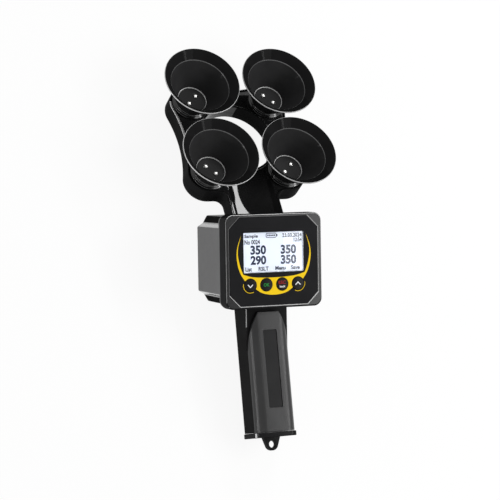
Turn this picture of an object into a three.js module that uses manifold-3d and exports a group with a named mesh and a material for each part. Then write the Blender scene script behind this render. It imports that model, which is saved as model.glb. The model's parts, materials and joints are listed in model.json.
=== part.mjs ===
// Hand-held milk tester with four cups, a display box and a grip that holds the cells.
// Millimetres, +Z up. The tester lies on its back, cups and display upwards.
//
// Three frames carry the pieces. Each has x to the right and z out of its front:
// the body frame starts at the centre of the box's front, y up the face,
// the head frame starts at the centre of the plane of the cup rims, y away from the box,
// and the grip frame starts where the grip's front meets the box's lower edge, y along the grip.

import * as THREE from 'three';
import { mergeVertices } from 'three/addons/utils/BufferGeometryUtils.js';
import Module from 'manifold-3d';

const wasm = await Module();
wasm.setup();

// Clearances
const gap = 0.3;
const overrun = 1;
const weldLength = 0.0001;

// Counts of sides and steps
const cupSides = 24;
const ringSides = 16;
const smallSides = 8;
const keySides = 16;
const holeSides = 32;
const lobeSteps = 8;
const waistSteps = 4;
const cornerSteps = 3;

// Leans, in degrees
const headLean = 33.2;
const gripLean = 9.9;

// Cups
const cupPitch = 81;
const rimGap = 5;
const rimRadius = (cupPitch - rimGap) / 2;
const rimWidth = 0.8;
const rimHeight = 1;
const lipWidth = 7.3;
const lipRadius = rimRadius - lipWidth;
const lipDepth = 6;
const cupDepth = 33;
const cupFloorRadius = 14;
const cupWall = 1.8;
const footWall = 3;
const footRadius = cupFloorRadius + footWall;
const footGroove = 0.8;
const footRib = 1.1;
const footRibGap = 0.8;
const footRibCount = 3;
const spigotInset = 0.8;
const spigotRadius = cupFloorRadius - spigotInset;
const spigotWall = 2.6;
const spigotTail = 0.8;
const cupSealThickness = 0.9;
const cupNutThickness = 4;
const cupNutWall = 2.8;
const cupFloorThickness = 2;

// Electrodes
const electrodePitch = 12;
const electrodeRadius = 2.4;
const electrodeHeight = 1.6;
const electrodeShank = 1.1;
const electrodeTail = 4;

// Head frame, a ring with four lobes and a neck
const frameFrontWall = 3;
const frameWall = 2.2;
const frameEdge = 1.2;
const nutMargin = 2.2;
const lobeRadius = spigotRadius + gap + cupNutWall + nutMargin + frameWall;
const ringHoleRadius = cupPitch * Math.SQRT1_2 - lobeRadius;
const sideWaistSink = 5.6;
const sideWaist = cupPitch / 2 + lobeRadius - sideWaistSink;
const topWaistSink = 5.2;
const topWaist = cupPitch / 2 + lobeRadius - topWaistSink;
const footHeight = 7;
const frameDepth = cupDepth + footHeight;
const borderWidth = 2;
const borderHeight = 1;
const wireRoom = 6.7;
const nutLayer = frameFrontWall + gap + cupNutThickness + spigotTail;
const frameThickness = borderHeight + nutLayer + wireRoom + frameWall;
const partingDrop = 10;
const framePartingDepth = frameDepth + partingDrop;
const neckWidth = 53.4;
const neckFillet = 8;
const neckTroughMargin = 6.2;
const neckTroughWidth = neckWidth - 2 * neckTroughMargin;
const neckTroughDepth = 2.4;
const neckTroughRun = 23;
const neckSpigotInset = 2;
const spigotReach = 6;
const barbHeight = 1.5;
const barbWidth = 1.2;
const bossRadius = 3;
const screwShank = 1.2;
const screwHeadRadius = 2.5;
const screwHeadHeight = 1.6;
const screwGrip = 5;
const screwSeat = 1;

// Sensor wires
const wireRadius = 1.4;
const trunkRadius = 2.4;
const wireSides = 6;
const wireSteps = 12;
const wireInset = 2.6;
const neckExitRise = 59;

// Box
const bezelWidth = 99.4;
const bezelHeight = 89.3;
const bezelDepth = 14;
const bezelCorner = 8;
const bezelEdge = 1.2;
const bezelWall = 2.4;
const bezelFace = 2.6;
const postRadius = 3.8;
const postInset = 6.2;
const postBore = 9;
const pillarRadius = 2;
const neckLength = 31.8;
const headRise = cupPitch / 2 + lobeRadius + neckLength;
const neckExit = headRise - neckExitRise;
const headSetback = 49;
const housingInset = 1.9;
const housingEndInset = 2.4;
const housingDepth = 76;
const housingFlange = 2.5;
const housingFlangeInset = 0.8;
const housingWall = 2.4;
const housingCorner = 2.5;
const housingEdge = 2;
const ledgeDrop = 9.75;
const ledgeSlant = 60;
const hollowSide = 3.7;
const hollowDrop = 5.2;
const hollowRadius = 3;
const wallSlant = 30;
const wallSide = 9.11;
const housingDraftShare = 0.012;
const gasketThickness = 0.8;
const gasketWidth = 1.6;
const boxScrewHeadRadius = 2.8;

// Front overlay, display and keys
const overlaySideBorder = 4;
const overlayEndBorder = 2.65;
const overlayWidth = bezelWidth - 2 * overlaySideBorder;
const overlayHeight = bezelHeight - 2 * overlayEndBorder;
const overlayChamfer = 11;
const overlayThickness = 0.5;
const overlayRecess = 1;
const displaySideBorder = 14.9;
const displayWidth = overlayWidth - 2 * displaySideBorder;
const displayEndBorder = 23.3;
const displayHeight = overlayHeight - 2 * displayEndBorder;
const displayRise = 8.2;
const displayCorner = 0.8;
const windowThickness = 1.4;
const windowSink = 0.1;
const lcdMargin = 4.2;
const lcdThickness = 5.6;
const keyEndInset = 6.2;
const keyPitch = (displayWidth - 2 * keyEndInset) / 3;
const keyFlange = 1.1;
const keySpacing = 1.9;
const keyRadius = (keyPitch - keySpacing) / 2 - keyFlange;
const keyMargin = 0.35;
const keyDrop = displayHeight / 2 + lcdMargin - displayRise + keyMargin + keyRadius + keyFlange;
const keyProud = 0.5;
const keyFlangeThickness = 1;
const keyTravel = 0.7;
const keyEdge = 0.6;
const keyStem = 2.4;
const padHeight = 1.2;
const padThickness = 0.6;
const padRadius = 4.2;
const matCorner = 1;
const boardSideMargin = 5.3;
const boardEndMargin = 1.15;
const boardWidth = bezelWidth - 2 * (bezelWall + boardSideMargin);
const boardHeight = bezelHeight - 2 * (postInset + postRadius + boardEndMargin);
const boardThickness = 1.6;
const boardClear = 1.5;
const boardDepth = bezelFace + gap + lcdThickness + boardClear;
const boardCorner = 3;

// Grip
const gripWidth = 40.8;
const gripFlattening = 2.4;
const gripDepth = gripWidth - gripFlattening;
const gripFrontRadius = 10;
const gripBackRadius = 6;
const gripLength = 118.2;
const gripWall = 2.4;
const gripPartingDepth = 10;
const shoulderStep = 1.1;
const shoulderWidth = gripWidth + 2 * shoulderStep;
const shoulderDrop = 2.6;
const shoulderMargin = 0.9;
const gasketLayer = gap + gasketThickness + gap;
const gripSetback = bezelDepth + gasketLayer + housingFlange + shoulderMargin - shoulderDrop;
const shoulderDepth = 24;
const archTopInset = 9.9;
const archTopWidth = gripWidth - 2 * archTopInset;
const archTop = 4.7;
const archDrop = 33.5;
const gripSpigotInset = 3;
const plateWidth = 13.5;
const plateTop = 22.1;
const plateBottom = 22.6;
const plateLength = gripLength - plateTop - plateBottom;
const plateThickness = 0.8;
const plateSink = 1.4;
const plateCorner = 1;
const capThickness = 3.8;
const capProud = 0.9;
const capFrontRadius = 8;
const capEdge = 0.6;
const capSealThickness = 0.7;
const capBossDepth = 9;
const lugRootWidth = 19;
const lugDrop = 6.7;
const lugRadius = 6;
const lugThickness = 6;
const lugHoleRadius = 3.4;

// Cells and their holder
const cellWeb = 1;
const cellMargin = 1.6;
const cellRadius = (gripDepth / 2 - gripWall - cellMargin - gap - cellWeb / 2) / 2;
const cellNubRadius = 2.7;
const cellNubHeight = 1.2;
const holderEnd = 3;
const holderClear = 1;
const holderTopRoom = 5.2;
const leadRadius = 1.3;

// Materials
function finish(color, roughness, metalness) {
  return new THREE.MeshStandardMaterial({ color, roughness, metalness });
}
const glossBlack = finish(0x0d0d0e, 0.12, 0);
const satinBlack = finish(0x2a2b2c, 0.45, 0);
const overlayBlack = finish(0x1c1d1e, 0.35, 0);
const gripGrey = finish(0x55575a, 0.75, 0);
const plateBlack = finish(0x202122, 0.6, 0);
const steel = finish(0xc9ccd0, 0.18, 1);
const rubberBlack = finish(0x161616, 0.85, 0);
const boardGreen = finish(0x1d5a34, 0.5, 0);
const displayWhite = finish(0xdfe9f7, 0.3, 0);
const paneClear = finish(0xeef3f8, 0.05, 0);
const wireGrey = finish(0x6d7074, 0.6, 0);
const keyBlack = finish(0x111213, 0.3, 0);
const nylonWhite = finish(0xd8d8d2, 0.5, 0);
const cellSilver = finish(0x9fa4aa, 0.35, 0.6);

const radians = THREE.MathUtils.degToRad;
const degrees = THREE.MathUtils.radToDeg;

// Points along an arc, both ends included
function arc(x, y, radius, from, to, steps) {
  const points = [];
  for (let i = 0; i <= steps; i += 1) {
    const angle = radians(from + (to - from) * i / steps);
    points.push(new THREE.Vector2(x + radius * Math.cos(angle), y + radius * Math.sin(angle)));
  }
  return points;
}

function circle(x, y, radius, sides) {
  return arc(x, y, radius, 0, 360, sides).slice(0, -1);
}

// A rectangle with round corners, one radius for its low edge and one for its high edge
function rounded(xLow, xHigh, yLow, yHigh, lowRadius, highRadius = lowRadius) {
  return [
    ...arc(xHigh - lowRadius, yLow + lowRadius, lowRadius, 270, 360, cornerSteps),
    ...arc(xHigh - highRadius, yHigh - highRadius, highRadius, 0, 90, cornerSteps),
    ...arc(xLow + highRadius, yHigh - highRadius, highRadius, 90, 180, cornerSteps),
    ...arc(xLow + lowRadius, yLow + lowRadius, lowRadius, 180, 270, cornerSteps),
  ];
}

function centredRectangle(width, height, radius) {
  return rounded(-width / 2, width / 2, -height / 2, height / 2, radius);
}

// An outline stood up between two heights, its edges cut back by the given bevel
function prism(points, low, high, { holes = [], edge = 0 } = {}) {
  const shape = new THREE.Shape(points);
  shape.holes = holes.map((hole) => new THREE.Path(hole));
  const geometry = new THREE.ExtrudeGeometry(shape, {
    depth: high - low - 2 * edge,
    bevelEnabled: edge > 0,
    bevelThickness: edge,
    bevelSize: edge,
    bevelOffset: -edge,
    bevelSegments: 1,
  });
  return geometry.translate(0, 0, low + edge);
}

const right = new THREE.Vector3(1, 0, 0);
const up = new THREE.Vector3(0, 1, 0);
const out = new THREE.Vector3(0, 0, 1);

// An outline drawn in x and z, run along y
function alongY(points, low, high, options) {
  const turn = new THREE.Matrix4().makeBasis(right, out, up.clone().negate());
  return prism(points, -high, -low, options).applyMatrix4(turn);
}

// An outline drawn in y and z, run along x
function alongX(points, low, high, options) {
  const turn = new THREE.Matrix4().makeBasis(up, out, right);
  return prism(points, low, high, options).applyMatrix4(turn);
}

// A profile of radius and height pairs, turned about z
function turned(profile, sides) {
  const points = profile.map(([radius, height]) => new THREE.Vector2(radius, height));
  return new THREE.LatheGeometry(points, sides).rotateX(Math.PI / 2);
}

function disc(x, y, radius, low, high, sides = smallSides) {
  return prism(circle(x, y, radius, sides), low, high);
}

function block(xLow, xHigh, yLow, yHigh, zLow, zHigh) {
  const geometry = new THREE.BoxGeometry(xHigh - xLow, yHigh - yLow, zHigh - zLow);
  return geometry.translate((xLow + xHigh) / 2, (yLow + yHigh) / 2, (zLow + zHigh) / 2);
}

// A round rod along a curve
function rod(points, radius, sides, steps) {
  const path = new THREE.CatmullRomCurve3(points);
  const section = new THREE.Shape(circle(0, 0, radius, sides));
  return new THREE.ExtrudeGeometry(section, { extrudePath: path, steps });
}

// A closed geometry as a solid that can be joined and cut
function solid(geometry, matrix) {
  const bare = geometry.clone();
  bare.deleteAttribute('normal');
  bare.deleteAttribute('uv');
  if (matrix) {
    bare.applyMatrix4(matrix);
  }
  const merged = mergeVertices(bare, weldLength);
  const corners = merged.index.array;
  const kept = [];
  for (let i = 0; i < corners.length; i += 3) {
    const [a, b, c] = corners.slice(i, i + 3);
    if (a !== b && b !== c && c !== a) {
      kept.push(a, b, c);
    }
  }
  return new wasm.Manifold(new wasm.Mesh({
    numProp: 3,
    vertProperties: new Float32Array(merged.attributes.position.array),
    triVerts: new Uint32Array(kept),
  }));
}

function joined(first, ...others) {
  return others.reduce((sum, next) => sum.add(next), first);
}

function cut(first, ...others) {
  return others.reduce((rest, next) => rest.subtract(next), first);
}

function addPiece(group, name, shape, material) {
  const { vertProperties, triVerts } = shape.getMesh();
  const geometry = new THREE.BufferGeometry();
  geometry.setAttribute('position', new THREE.BufferAttribute(vertProperties, 3));
  geometry.setIndex(new THREE.BufferAttribute(triVerts, 1));
  geometry.computeVertexNormals();
  const mesh = new THREE.Mesh(geometry, material);
  mesh.name = name;
  group.add(mesh);
  return mesh;
}

// The three frames
const body = new THREE.Group();
const head = new THREE.Group();
const grip = new THREE.Group();
head.position.set(0, bezelHeight / 2 + headRise, -headSetback);
head.rotation.x = -radians(headLean);
grip.position.set(0, -bezelHeight / 2, -gripSetback);
grip.rotation.x = -radians(gripLean);
body.add(head, grip);
body.updateMatrixWorld(true);
const headToBody = head.matrixWorld.clone();
const gripToBody = grip.matrixWorld.clone();
const bodyToHead = headToBody.clone().invert();
const bodyToGrip = gripToBody.clone().invert();

// A block of the body frame between two heights up the face, wider and deeper than everything
const farAway = 4 * bezelHeight;
function level(yLow, yHigh, matrix) {
  return solid(block(-farAway, farAway, yLow, yHigh, -farAway, farAway), matrix);
}

// Everything of a frame between two depths
function layer(zLow, zHigh) {
  return solid(block(-farAway, farAway, -farAway, farAway, zLow, zHigh));
}

const housingTop = bezelHeight / 2 - housingEndInset;
const housingCeiling = housingTop * (1 - housingDraftShare) - housingWall;

// Head frame

// A waist arc between two lobes: it touches both and comes in to the given distance
function waistRadius(waist) {
  const half = cupPitch / 2;
  const inset = waist - half;
  return (inset * inset + half * half - lobeRadius * lobeRadius) / (2 * (lobeRadius - inset));
}

// The angle from a waist arc's centre to the lobe that it touches, in degrees
function waistAngle(waist) {
  const half = cupPitch / 2;
  return degrees(Math.atan2(half, waist + waistRadius(waist) - half));
}

// The ring and its neck, seen from the front, drawn in by the given inset
function frameOutline(inset, neckEnd) {
  const half = cupPitch / 2;
  const lobe = lobeRadius - inset;
  const side = waistRadius(sideWaist);
  const top = waistRadius(topWaist);
  const sideAngle = waistAngle(sideWaist);
  const topAngle = waistAngle(topWaist);
  const neck = neckWidth / 2;
  const filletX = neck + neckFillet;
  const filletY = -half - lobeRadius - neckFillet;
  return [
    ...arc(filletX, filletY, neckFillet + inset, 180, 90, cornerSteps),
    ...arc(half, -half, lobe, 270, 360 + sideAngle, lobeSteps),
    ...arc(sideWaist + side, 0, side + inset, 180 + sideAngle, 180 - sideAngle, waistSteps).slice(1, -1),
    ...arc(half, half, lobe, -sideAngle, 90 + topAngle, lobeSteps),
    ...arc(0, topWaist + top, top + inset, 270 + topAngle, 270 - topAngle, waistSteps).slice(1, -1),
    ...arc(-half, half, lobe, 90 - topAngle, 180 + sideAngle, lobeSteps),
    ...arc(-sideWaist - side, 0, side + inset, sideAngle, -sideAngle, waistSteps).slice(1, -1),
    ...arc(-half, -half, lobe, 180 - sideAngle, 270, lobeSteps),
    ...arc(-filletX, filletY, neckFillet + inset, 90, 0, cornerSteps),
    new THREE.Vector2(-neck + inset, neckEnd),
    new THREE.Vector2(neck - inset, neckEnd),
  ];
}

const frameFront = -frameDepth;
const frameFloor = frameFront - borderHeight;
const frameBack = frameFront - frameThickness;
const neckEnd = -(headRise + bezelHeight / 2);

// The neck's smaller end that goes through the top of the housing
function neckSpigot(grown) {
  const half = neckWidth / 2 - neckSpigotInset + grown;
  const low = frameBack + neckSpigotInset - grown;
  const high = frameFloor - neckSpigotInset + grown;
  return solid(block(-half, half, neckEnd, 0, low, high));
}

const cupPlaces = [
  { name: 'far_left', x: -1, y: 1 },
  { name: 'far_right', x: 1, y: 1 },
  { name: 'near_left', x: -1, y: -1 },
  { name: 'near_right', x: 1, y: -1 },
].map(({ name, x, y }) => ({ name, x: x * cupPitch / 2, y: y * cupPitch / 2, turn: x * y }));

// Screws that hold the back of the head frame: the waists of the ring
const bossFromEdge = frameWall + bossRadius / 2;
const bossPlaces = [
  { x: 0, y: (ringHoleRadius + topWaist) / 2 },
  { x: sideWaist - bossFromEdge, y: 0 },
  { x: bossFromEdge - sideWaist, y: 0 },
  { x: 0, y: -(ringHoleRadius + topWaist) / 2 },
];

function frameBody() {
  const hole = circle(0, 0, ringHoleRadius, holeSides);
  const options = { holes: [hole], edge: frameEdge };
  const outside = solid(prism(frameOutline(0, neckEnd), frameBack, frameFront, options));
  const stub = neckSpigot(0).intersect(level(housingCeiling - spigotReach, housingTop + gap + overrun, bodyToHead));
  const barbTop = housingCeiling - gap;
  const barb = neckSpigot(barbWidth).intersect(level(barbTop - barbHeight, barbTop, bodyToHead));
  const seated = outside.subtract(level(-farAway, housingTop + gap, bodyToHead));
  const ceiling = frameFloor - frameFrontWall;
  const ringRoom = solid(prism(
    frameOutline(frameWall, neckEnd),
    frameBack + frameWall,
    ceiling,
    { holes: [circle(0, 0, ringHoleRadius + frameWall, holeSides)] },
  ));
  const upperRoom = ringRoom.intersect(level(housingTop + gap + frameWall, farAway, bodyToHead));
  const endRoom = neckSpigot(-frameWall).intersect(level(-farAway, housingTop + neckFillet, bodyToHead));
  return cut(joined(seated, stub, barb), upperRoom, endRoom);
}

function frameBosses() {
  const low = frameBack + overrun;
  return bossPlaces.map(({ x, y }) => solid(disc(x, y, bossRadius, low, frameFloor - overrun)));
}

function frameRecess() {
  const hole = circle(0, 0, ringHoleRadius + borderWidth, holeSides);
  const outline = frameOutline(borderWidth, neckEnd - overrun);
  return solid(prism(outline, frameFloor, frameFront + overrun, { holes: [hole] }));
}

// A shallow trough down the front of the neck: it starts level with the ring and sinks towards the box
function neckTrough() {
  const half = neckTroughWidth / 2;
  const radius = (half * half + neckTroughDepth * neckTroughDepth) / (2 * neckTroughDepth);
  const sweep = degrees(Math.asin(half / radius));
  const sinks = neckTroughDepth - borderHeight;
  const section = [
    ...arc(0, radius - neckTroughDepth, radius, 270 - sweep, 270 + sweep, waistSteps),
    new THREE.Vector2(half, overrun),
    new THREE.Vector2(-half, overrun),
  ];
  const trough = alongY(section, -farAway, 0);
  trough.rotateX(Math.atan2(sinks, neckTroughRun));
  trough.translate(0, -cupPitch / 2 - lobeRadius, frameFront + sinks);
  return solid(trough);
}

function buildHeadFrame() {
  const shell = joined(frameBody(), ...frameBosses());
  const front = shell.intersect(layer(-framePartingDepth, 0));
  const back = shell.intersect(layer(-farAway, -framePartingDepth - gap));
  const cupHoles = cupPlaces.map(({ x, y }) => (
    solid(disc(x, y, spigotRadius + gap, -framePartingDepth - overrun, 0, ringSides))
  ));
  const pilots = bossPlaces.map(({ x, y }) => (
    solid(disc(x, y, screwShank + gap, -framePartingDepth - overrun, -framePartingDepth + screwGrip + gap))
  ));
  const headRoom = frameBack + screwSeat + screwHeadHeight + gap;
  const screwHoles = bossPlaces.flatMap(({ x, y }) => [
    solid(disc(x, y, screwShank + gap, frameBack - overrun, -framePartingDepth + overrun)),
    solid(disc(x, y, screwHeadRadius + gap, frameBack - overrun, headRoom)),
  ]);
  const frontCut = cut(front, frameRecess(), neckTrough(), ...cupHoles, ...pilots);
  addPiece(head, 'head_frame_front', frontCut, glossBlack);
  addPiece(head, 'head_frame_back', cut(back, ...screwHoles), glossBlack);
  const headSeat = frameBack + screwSeat + screwHeadHeight;
  bossPlaces.forEach(({ x, y }, i) => {
    const screw = turned([
      [0, headSeat - screwHeadHeight],
      [screwHeadRadius, headSeat - screwHeadHeight],
      [screwHeadRadius, headSeat],
      [screwShank, headSeat],
      [screwShank, -framePartingDepth + screwGrip],
      [0, -framePartingDepth + screwGrip],
    ], smallSides).translate(x, y, 0);
    addPiece(head, `frame_screw_${i + 1}`, solid(screw), steel);
  });
}

// Cups, each with its floor, two electrodes, a seal and the nut inside the frame

const footLow = frameFloor + gap + cupSealThickness + gap;
const nutTop = frameFloor - frameFrontWall - gap;
const spigotEnd = nutTop - cupNutThickness - spigotTail;
const cupFloorTop = -cupDepth;
const cupLedge = cupFloorTop - cupFloorThickness - gap;

function cupProfile() {
  const slope = (lipRadius - cupFloorRadius) / (cupDepth - lipDepth);
  const coneWall = cupWall * Math.sqrt(1 + slope * slope);
  const coneLow = footLow + footRibCount * footRib + (footRibCount - 1) * footRibGap;
  const coneLowRadius = cupFloorRadius + coneWall + slope * (coneLow - cupFloorTop);
  const points = [
    [spigotRadius - spigotWall, spigotEnd],
    [spigotRadius, spigotEnd],
    [spigotRadius, footLow],
  ];
  for (let i = 0; i < footRibCount; i += 1) {
    const low = footLow + i * (footRib + footRibGap);
    if (i > 0) {
      points.push([footRadius - footGroove, low]);
    }
    points.push([footRadius, low], [footRadius, low + footRib]);
    if (i < footRibCount - 1) {
      points.push([footRadius - footGroove, low + footRib]);
    }
  }
  points.push(
    [coneLowRadius, coneLow],
    [lipRadius + coneWall, -lipDepth],
    [rimRadius, -rimHeight],
    [rimRadius, 0],
    [rimRadius - rimWidth, 0],
    [lipRadius, -lipDepth],
    [cupFloorRadius, cupFloorTop],
    [cupFloorRadius, cupLedge],
    [spigotRadius - spigotWall, cupLedge],
    [spigotRadius - spigotWall, spigotEnd],
  );
  return points;
}

// The two electrodes stand across the line from the cup to the middle of the head
function electrodePlaces({ x, y, turn }) {
  const side = electrodePitch / 2 * Math.SQRT1_2;
  return [1, -1].map((sign) => ({ x: x + sign * side, y: y - sign * turn * side }));
}

function ring(inner, outer, low, high, sides) {
  return turned([[inner, low], [outer, low], [outer, high], [inner, high], [inner, low]], sides);
}

function electrode() {
  const domeShare = 0.75;
  const riseShare = 0.7;
  return turned([
    [0, -cupFloorThickness - electrodeTail],
    [electrodeShank, -cupFloorThickness - electrodeTail],
    [electrodeShank, gap],
    [electrodeRadius, gap],
    [electrodeRadius * domeShare, electrodeHeight * riseShare],
    [0, electrodeHeight],
  ], smallSides);
}

function buildCup(place) {
  const { name, x, y } = place;
  const pins = electrodePlaces(place);
  addPiece(head, `cup_${name}`, solid(turned(cupProfile(), cupSides).translate(x, y, 0)), glossBlack);
  const pinHoles = pins.map((pin) => circle(pin.x, pin.y, electrodeShank + gap, smallSides));
  const floorOutline = circle(x, y, cupFloorRadius - gap, cupSides);
  const floorPlate = prism(floorOutline, cupFloorTop - cupFloorThickness, cupFloorTop, { holes: pinHoles });
  addPiece(head, `cup_floor_${name}`, solid(floorPlate), satinBlack);
  pins.forEach((pin, i) => {
    const place3 = electrode().translate(pin.x, pin.y, cupFloorTop);
    addPiece(head, `electrode_${name}_${i + 1}`, solid(place3), steel);
  });
  const sealWidth = footRadius - spigotRadius - footGroove;
  const seal = ring(spigotRadius + gap, spigotRadius + sealWidth, frameFloor + gap, footLow - gap, ringSides);
  addPiece(head, `cup_seal_${name}`, solid(seal.translate(x, y, 0)), rubberBlack);
  const nutInner = spigotRadius + gap;
  const nut = ring(nutInner, nutInner + cupNutWall, nutTop - cupNutThickness, nutTop, ringSides);
  addPiece(head, `cup_nut_${name}`, solid(nut.translate(x, y, 0)), nylonWhite);
}

// Sensor wires: a branch on each side under two cups, one trunk down the neck to the board

function buildHarness() {
  const half = cupPitch / 2;
  const depth = frameBack + frameWall + wireInset;
  const inner = ringHoleRadius + frameWall + wireInset;
  const neckTop = -half - lobeRadius;
  const neckMiddle = (frameBack + frameFloor) / 2;
  const trunkStart = new THREE.Vector3(0, neckTop - neckFillet, neckMiddle);
  const boardBack = new THREE.Vector3(0, boardHeight / 4, -boardDepth - boardThickness - gap);
  const nearBoard = boardBack.clone().add(new THREE.Vector3(0, 0, -neckFillet));
  const branches = [-1, 1].map((sign) => solid(rod([
    new THREE.Vector3(sign * half, half, depth),
    new THREE.Vector3(sign * inner, half / 2, depth),
    new THREE.Vector3(sign * inner, 0, depth),
    new THREE.Vector3(sign * inner, -half / 2, depth),
    new THREE.Vector3(sign * half, -half, depth),
    new THREE.Vector3(sign * half / 2, neckTop, depth),
    trunkStart,
  ], wireRadius, wireSides, 2 * wireSteps)));
  const risers = cupPlaces.map(({ x, y }) => (
    solid(disc(x, y, wireRadius, depth, cupFloorTop - cupFloorThickness - gap, wireSides))
  ));
  const trunk = solid(rod([
    trunkStart.clone().add(new THREE.Vector3(0, wireInset, 0)),
    trunkStart,
    new THREE.Vector3(0, neckTop - 2 * neckFillet, neckMiddle),
    new THREE.Vector3(0, neckTop - neckExit, neckMiddle),
    nearBoard.applyMatrix4(bodyToHead),
    boardBack.applyMatrix4(bodyToHead),
  ], trunkRadius, wireSides, wireSteps));
  addPiece(head, 'sensor_harness', joined(trunk, ...branches, ...risers), wireGrey);
}

// Box

const gasketBack = -bezelDepth - gap - gasketThickness;
const flangeFront = gasketBack - gap;
const flangeBack = flangeFront - housingFlange;
const postX = bezelWidth / 2 - postInset;
const postY = bezelHeight / 2 - postInset;
const boxCorners = [[-1, 1], [1, 1], [-1, -1], [1, -1]].map(([x, y]) => ({ x: x * postX, y: y * postY }));

function octagon(inset) {
  const x = overlayWidth / 2 - inset;
  const y = overlayHeight / 2 - inset;
  const chamfer = overlayChamfer - inset * (2 - Math.SQRT2);
  return [
    [x - chamfer, -y], [x, -y + chamfer], [x, y - chamfer], [x - chamfer, y],
    [chamfer - x, y], [-x, y - chamfer], [-x, chamfer - y], [chamfer - x, -y],
  ].map(([a, b]) => new THREE.Vector2(a, b));
}

const keys = ['down', 'ok', 'esc', 'up'].map((name, i) => ({ name, x: (i - 1.5) * keyPitch, y: -keyDrop }));

function displayOutline(grown) {
  return centredRectangle(displayWidth + 2 * grown, displayHeight + 2 * grown, displayCorner)
    .map((point) => point.add(new THREE.Vector2(0, displayRise)));
}

function keyCircles(radius) {
  return keys.map(({ x, y }) => circle(x, y, radius, keySides));
}

function buildBezel() {
  const outer = centredRectangle(bezelWidth, bezelHeight, bezelCorner);
  const outside = solid(prism(outer, -bezelDepth, 0, { edge: bezelEdge }));
  const width = bezelWidth - 2 * bezelWall;
  const height = bezelHeight - 2 * bezelWall;
  const inner = centredRectangle(width, height, bezelCorner - bezelWall);
  const room = solid(prism(inner, -bezelDepth - overrun, -bezelFace));
  const posts = boxCorners.map(({ x, y }) => (
    solid(disc(x, y, postRadius, -bezelDepth, -bezelFace + overrun))
  ));
  const pillarX = boardWidth / 2 - boardCorner;
  const pillarY = boardHeight / 2 - boardCorner;
  const pillars = [[-1, 1], [1, 1], [-1, -1], [1, -1]].map(([x, y]) => (
    solid(disc(x * pillarX, y * pillarY, pillarRadius, -boardDepth + gap, -bezelFace + overrun))
  ));
  const cuts = [
    solid(prism(octagon(0), -overlayRecess, overrun)),
    solid(prism(displayOutline(gap), -bezelFace - overrun, overrun)),
    ...keyCircles(keyRadius + gap).map((points) => solid(prism(points, -bezelFace - overrun, overrun))),
    ...boxCorners.map(({ x, y }) => (
      solid(disc(x, y, screwShank + gap, -bezelDepth - overrun, -bezelDepth + postBore))
    )),
  ];
  const shell = joined(outside.subtract(room), ...posts, ...pillars);
  addPiece(body, 'front_bezel', cut(shell, ...cuts), satinBlack);
}

function buildOverlay() {
  const low = -overlayRecess + gap;
  const holes = [displayOutline(gap), ...keyCircles(keyRadius + gap)];
  const sheet = prism(octagon(gap), low, low + overlayThickness, { holes });
  addPiece(body, 'front_overlay', solid(sheet), overlayBlack);
}

const windowFront = -overlayRecess + gap + overlayThickness - windowSink;
const windowBack = windowFront - windowThickness;

function buildDisplay() {
  addPiece(body, 'display_window', solid(prism(displayOutline(0), windowBack, windowFront)), paneClear);
  const glassTop = windowBack - gap;
  const moduleTop = -bezelFace - gap;
  const frame = prism(displayOutline(lcdMargin), moduleTop - lcdThickness, moduleTop);
  const glass = prism(displayOutline(-gap), moduleTop - overrun, glassTop);
  addPiece(body, 'lcd_module', solid(frame).add(solid(glass)), displayWhite);
}

function buildKeys() {
  const flangeTop = -bezelFace - gap;
  const stemEnd = -boardDepth + gap + padThickness + padHeight + gap + keyTravel;
  keys.forEach(({ name, x, y }) => {
    const cap = turned([
      [0, stemEnd],
      [keyStem, stemEnd],
      [keyStem, flangeTop - keyFlangeThickness],
      [keyRadius + keyFlange, flangeTop - keyFlangeThickness],
      [keyRadius + keyFlange, flangeTop],
      [keyRadius, flangeTop],
      [keyRadius, keyProud - keyEdge],
      [keyRadius - keyEdge, keyProud],
      [0, keyProud],
    ], keySides).translate(x, y, 0);
    addPiece(body, `key_${name}`, solid(cap), keyBlack);
  });
  const low = -boardDepth + gap;
  const margin = padRadius + gap;
  const matHalfWidth = 1.5 * keyPitch + margin;
  const outline = rounded(-matHalfWidth, matHalfWidth, -keyDrop - margin, -keyDrop + margin, matCorner);
  const mat = solid(prism(outline, low, low + padThickness));
  const domeTop = low + padThickness + padHeight;
  const domes = keys.map(({ x, y }) => solid(disc(x, y, padRadius, low, domeTop, ringSides)));
  addPiece(body, 'keypad_mat', joined(mat, ...domes), rubberBlack);
}

function buildBoard() {
  const outline = centredRectangle(boardWidth, boardHeight, boardCorner);
  const board = prism(outline, -boardDepth - boardThickness, -boardDepth);
  addPiece(body, 'main_board', solid(board), boardGreen);
}

function buildGasket() {
  const width = bezelWidth - 2 * bezelWall + gasketWidth;
  const height = bezelHeight - 2 * bezelWall + gasketWidth;
  const hole = centredRectangle(width - 2 * gasketWidth, height - 2 * gasketWidth, bezelCorner - bezelWall);
  const outline = centredRectangle(width, height, bezelCorner);
  const sheet = solid(prism(outline, gasketBack, -bezelDepth - gap, { holes: [hole] }));
  const shanks = boxCorners.map(({ x, y }) => solid(disc(x, y, screwShank + gap, gasketBack - overrun, 0)));
  addPiece(body, 'housing_gasket', cut(sheet, ...shanks), rubberBlack);
}

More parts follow.
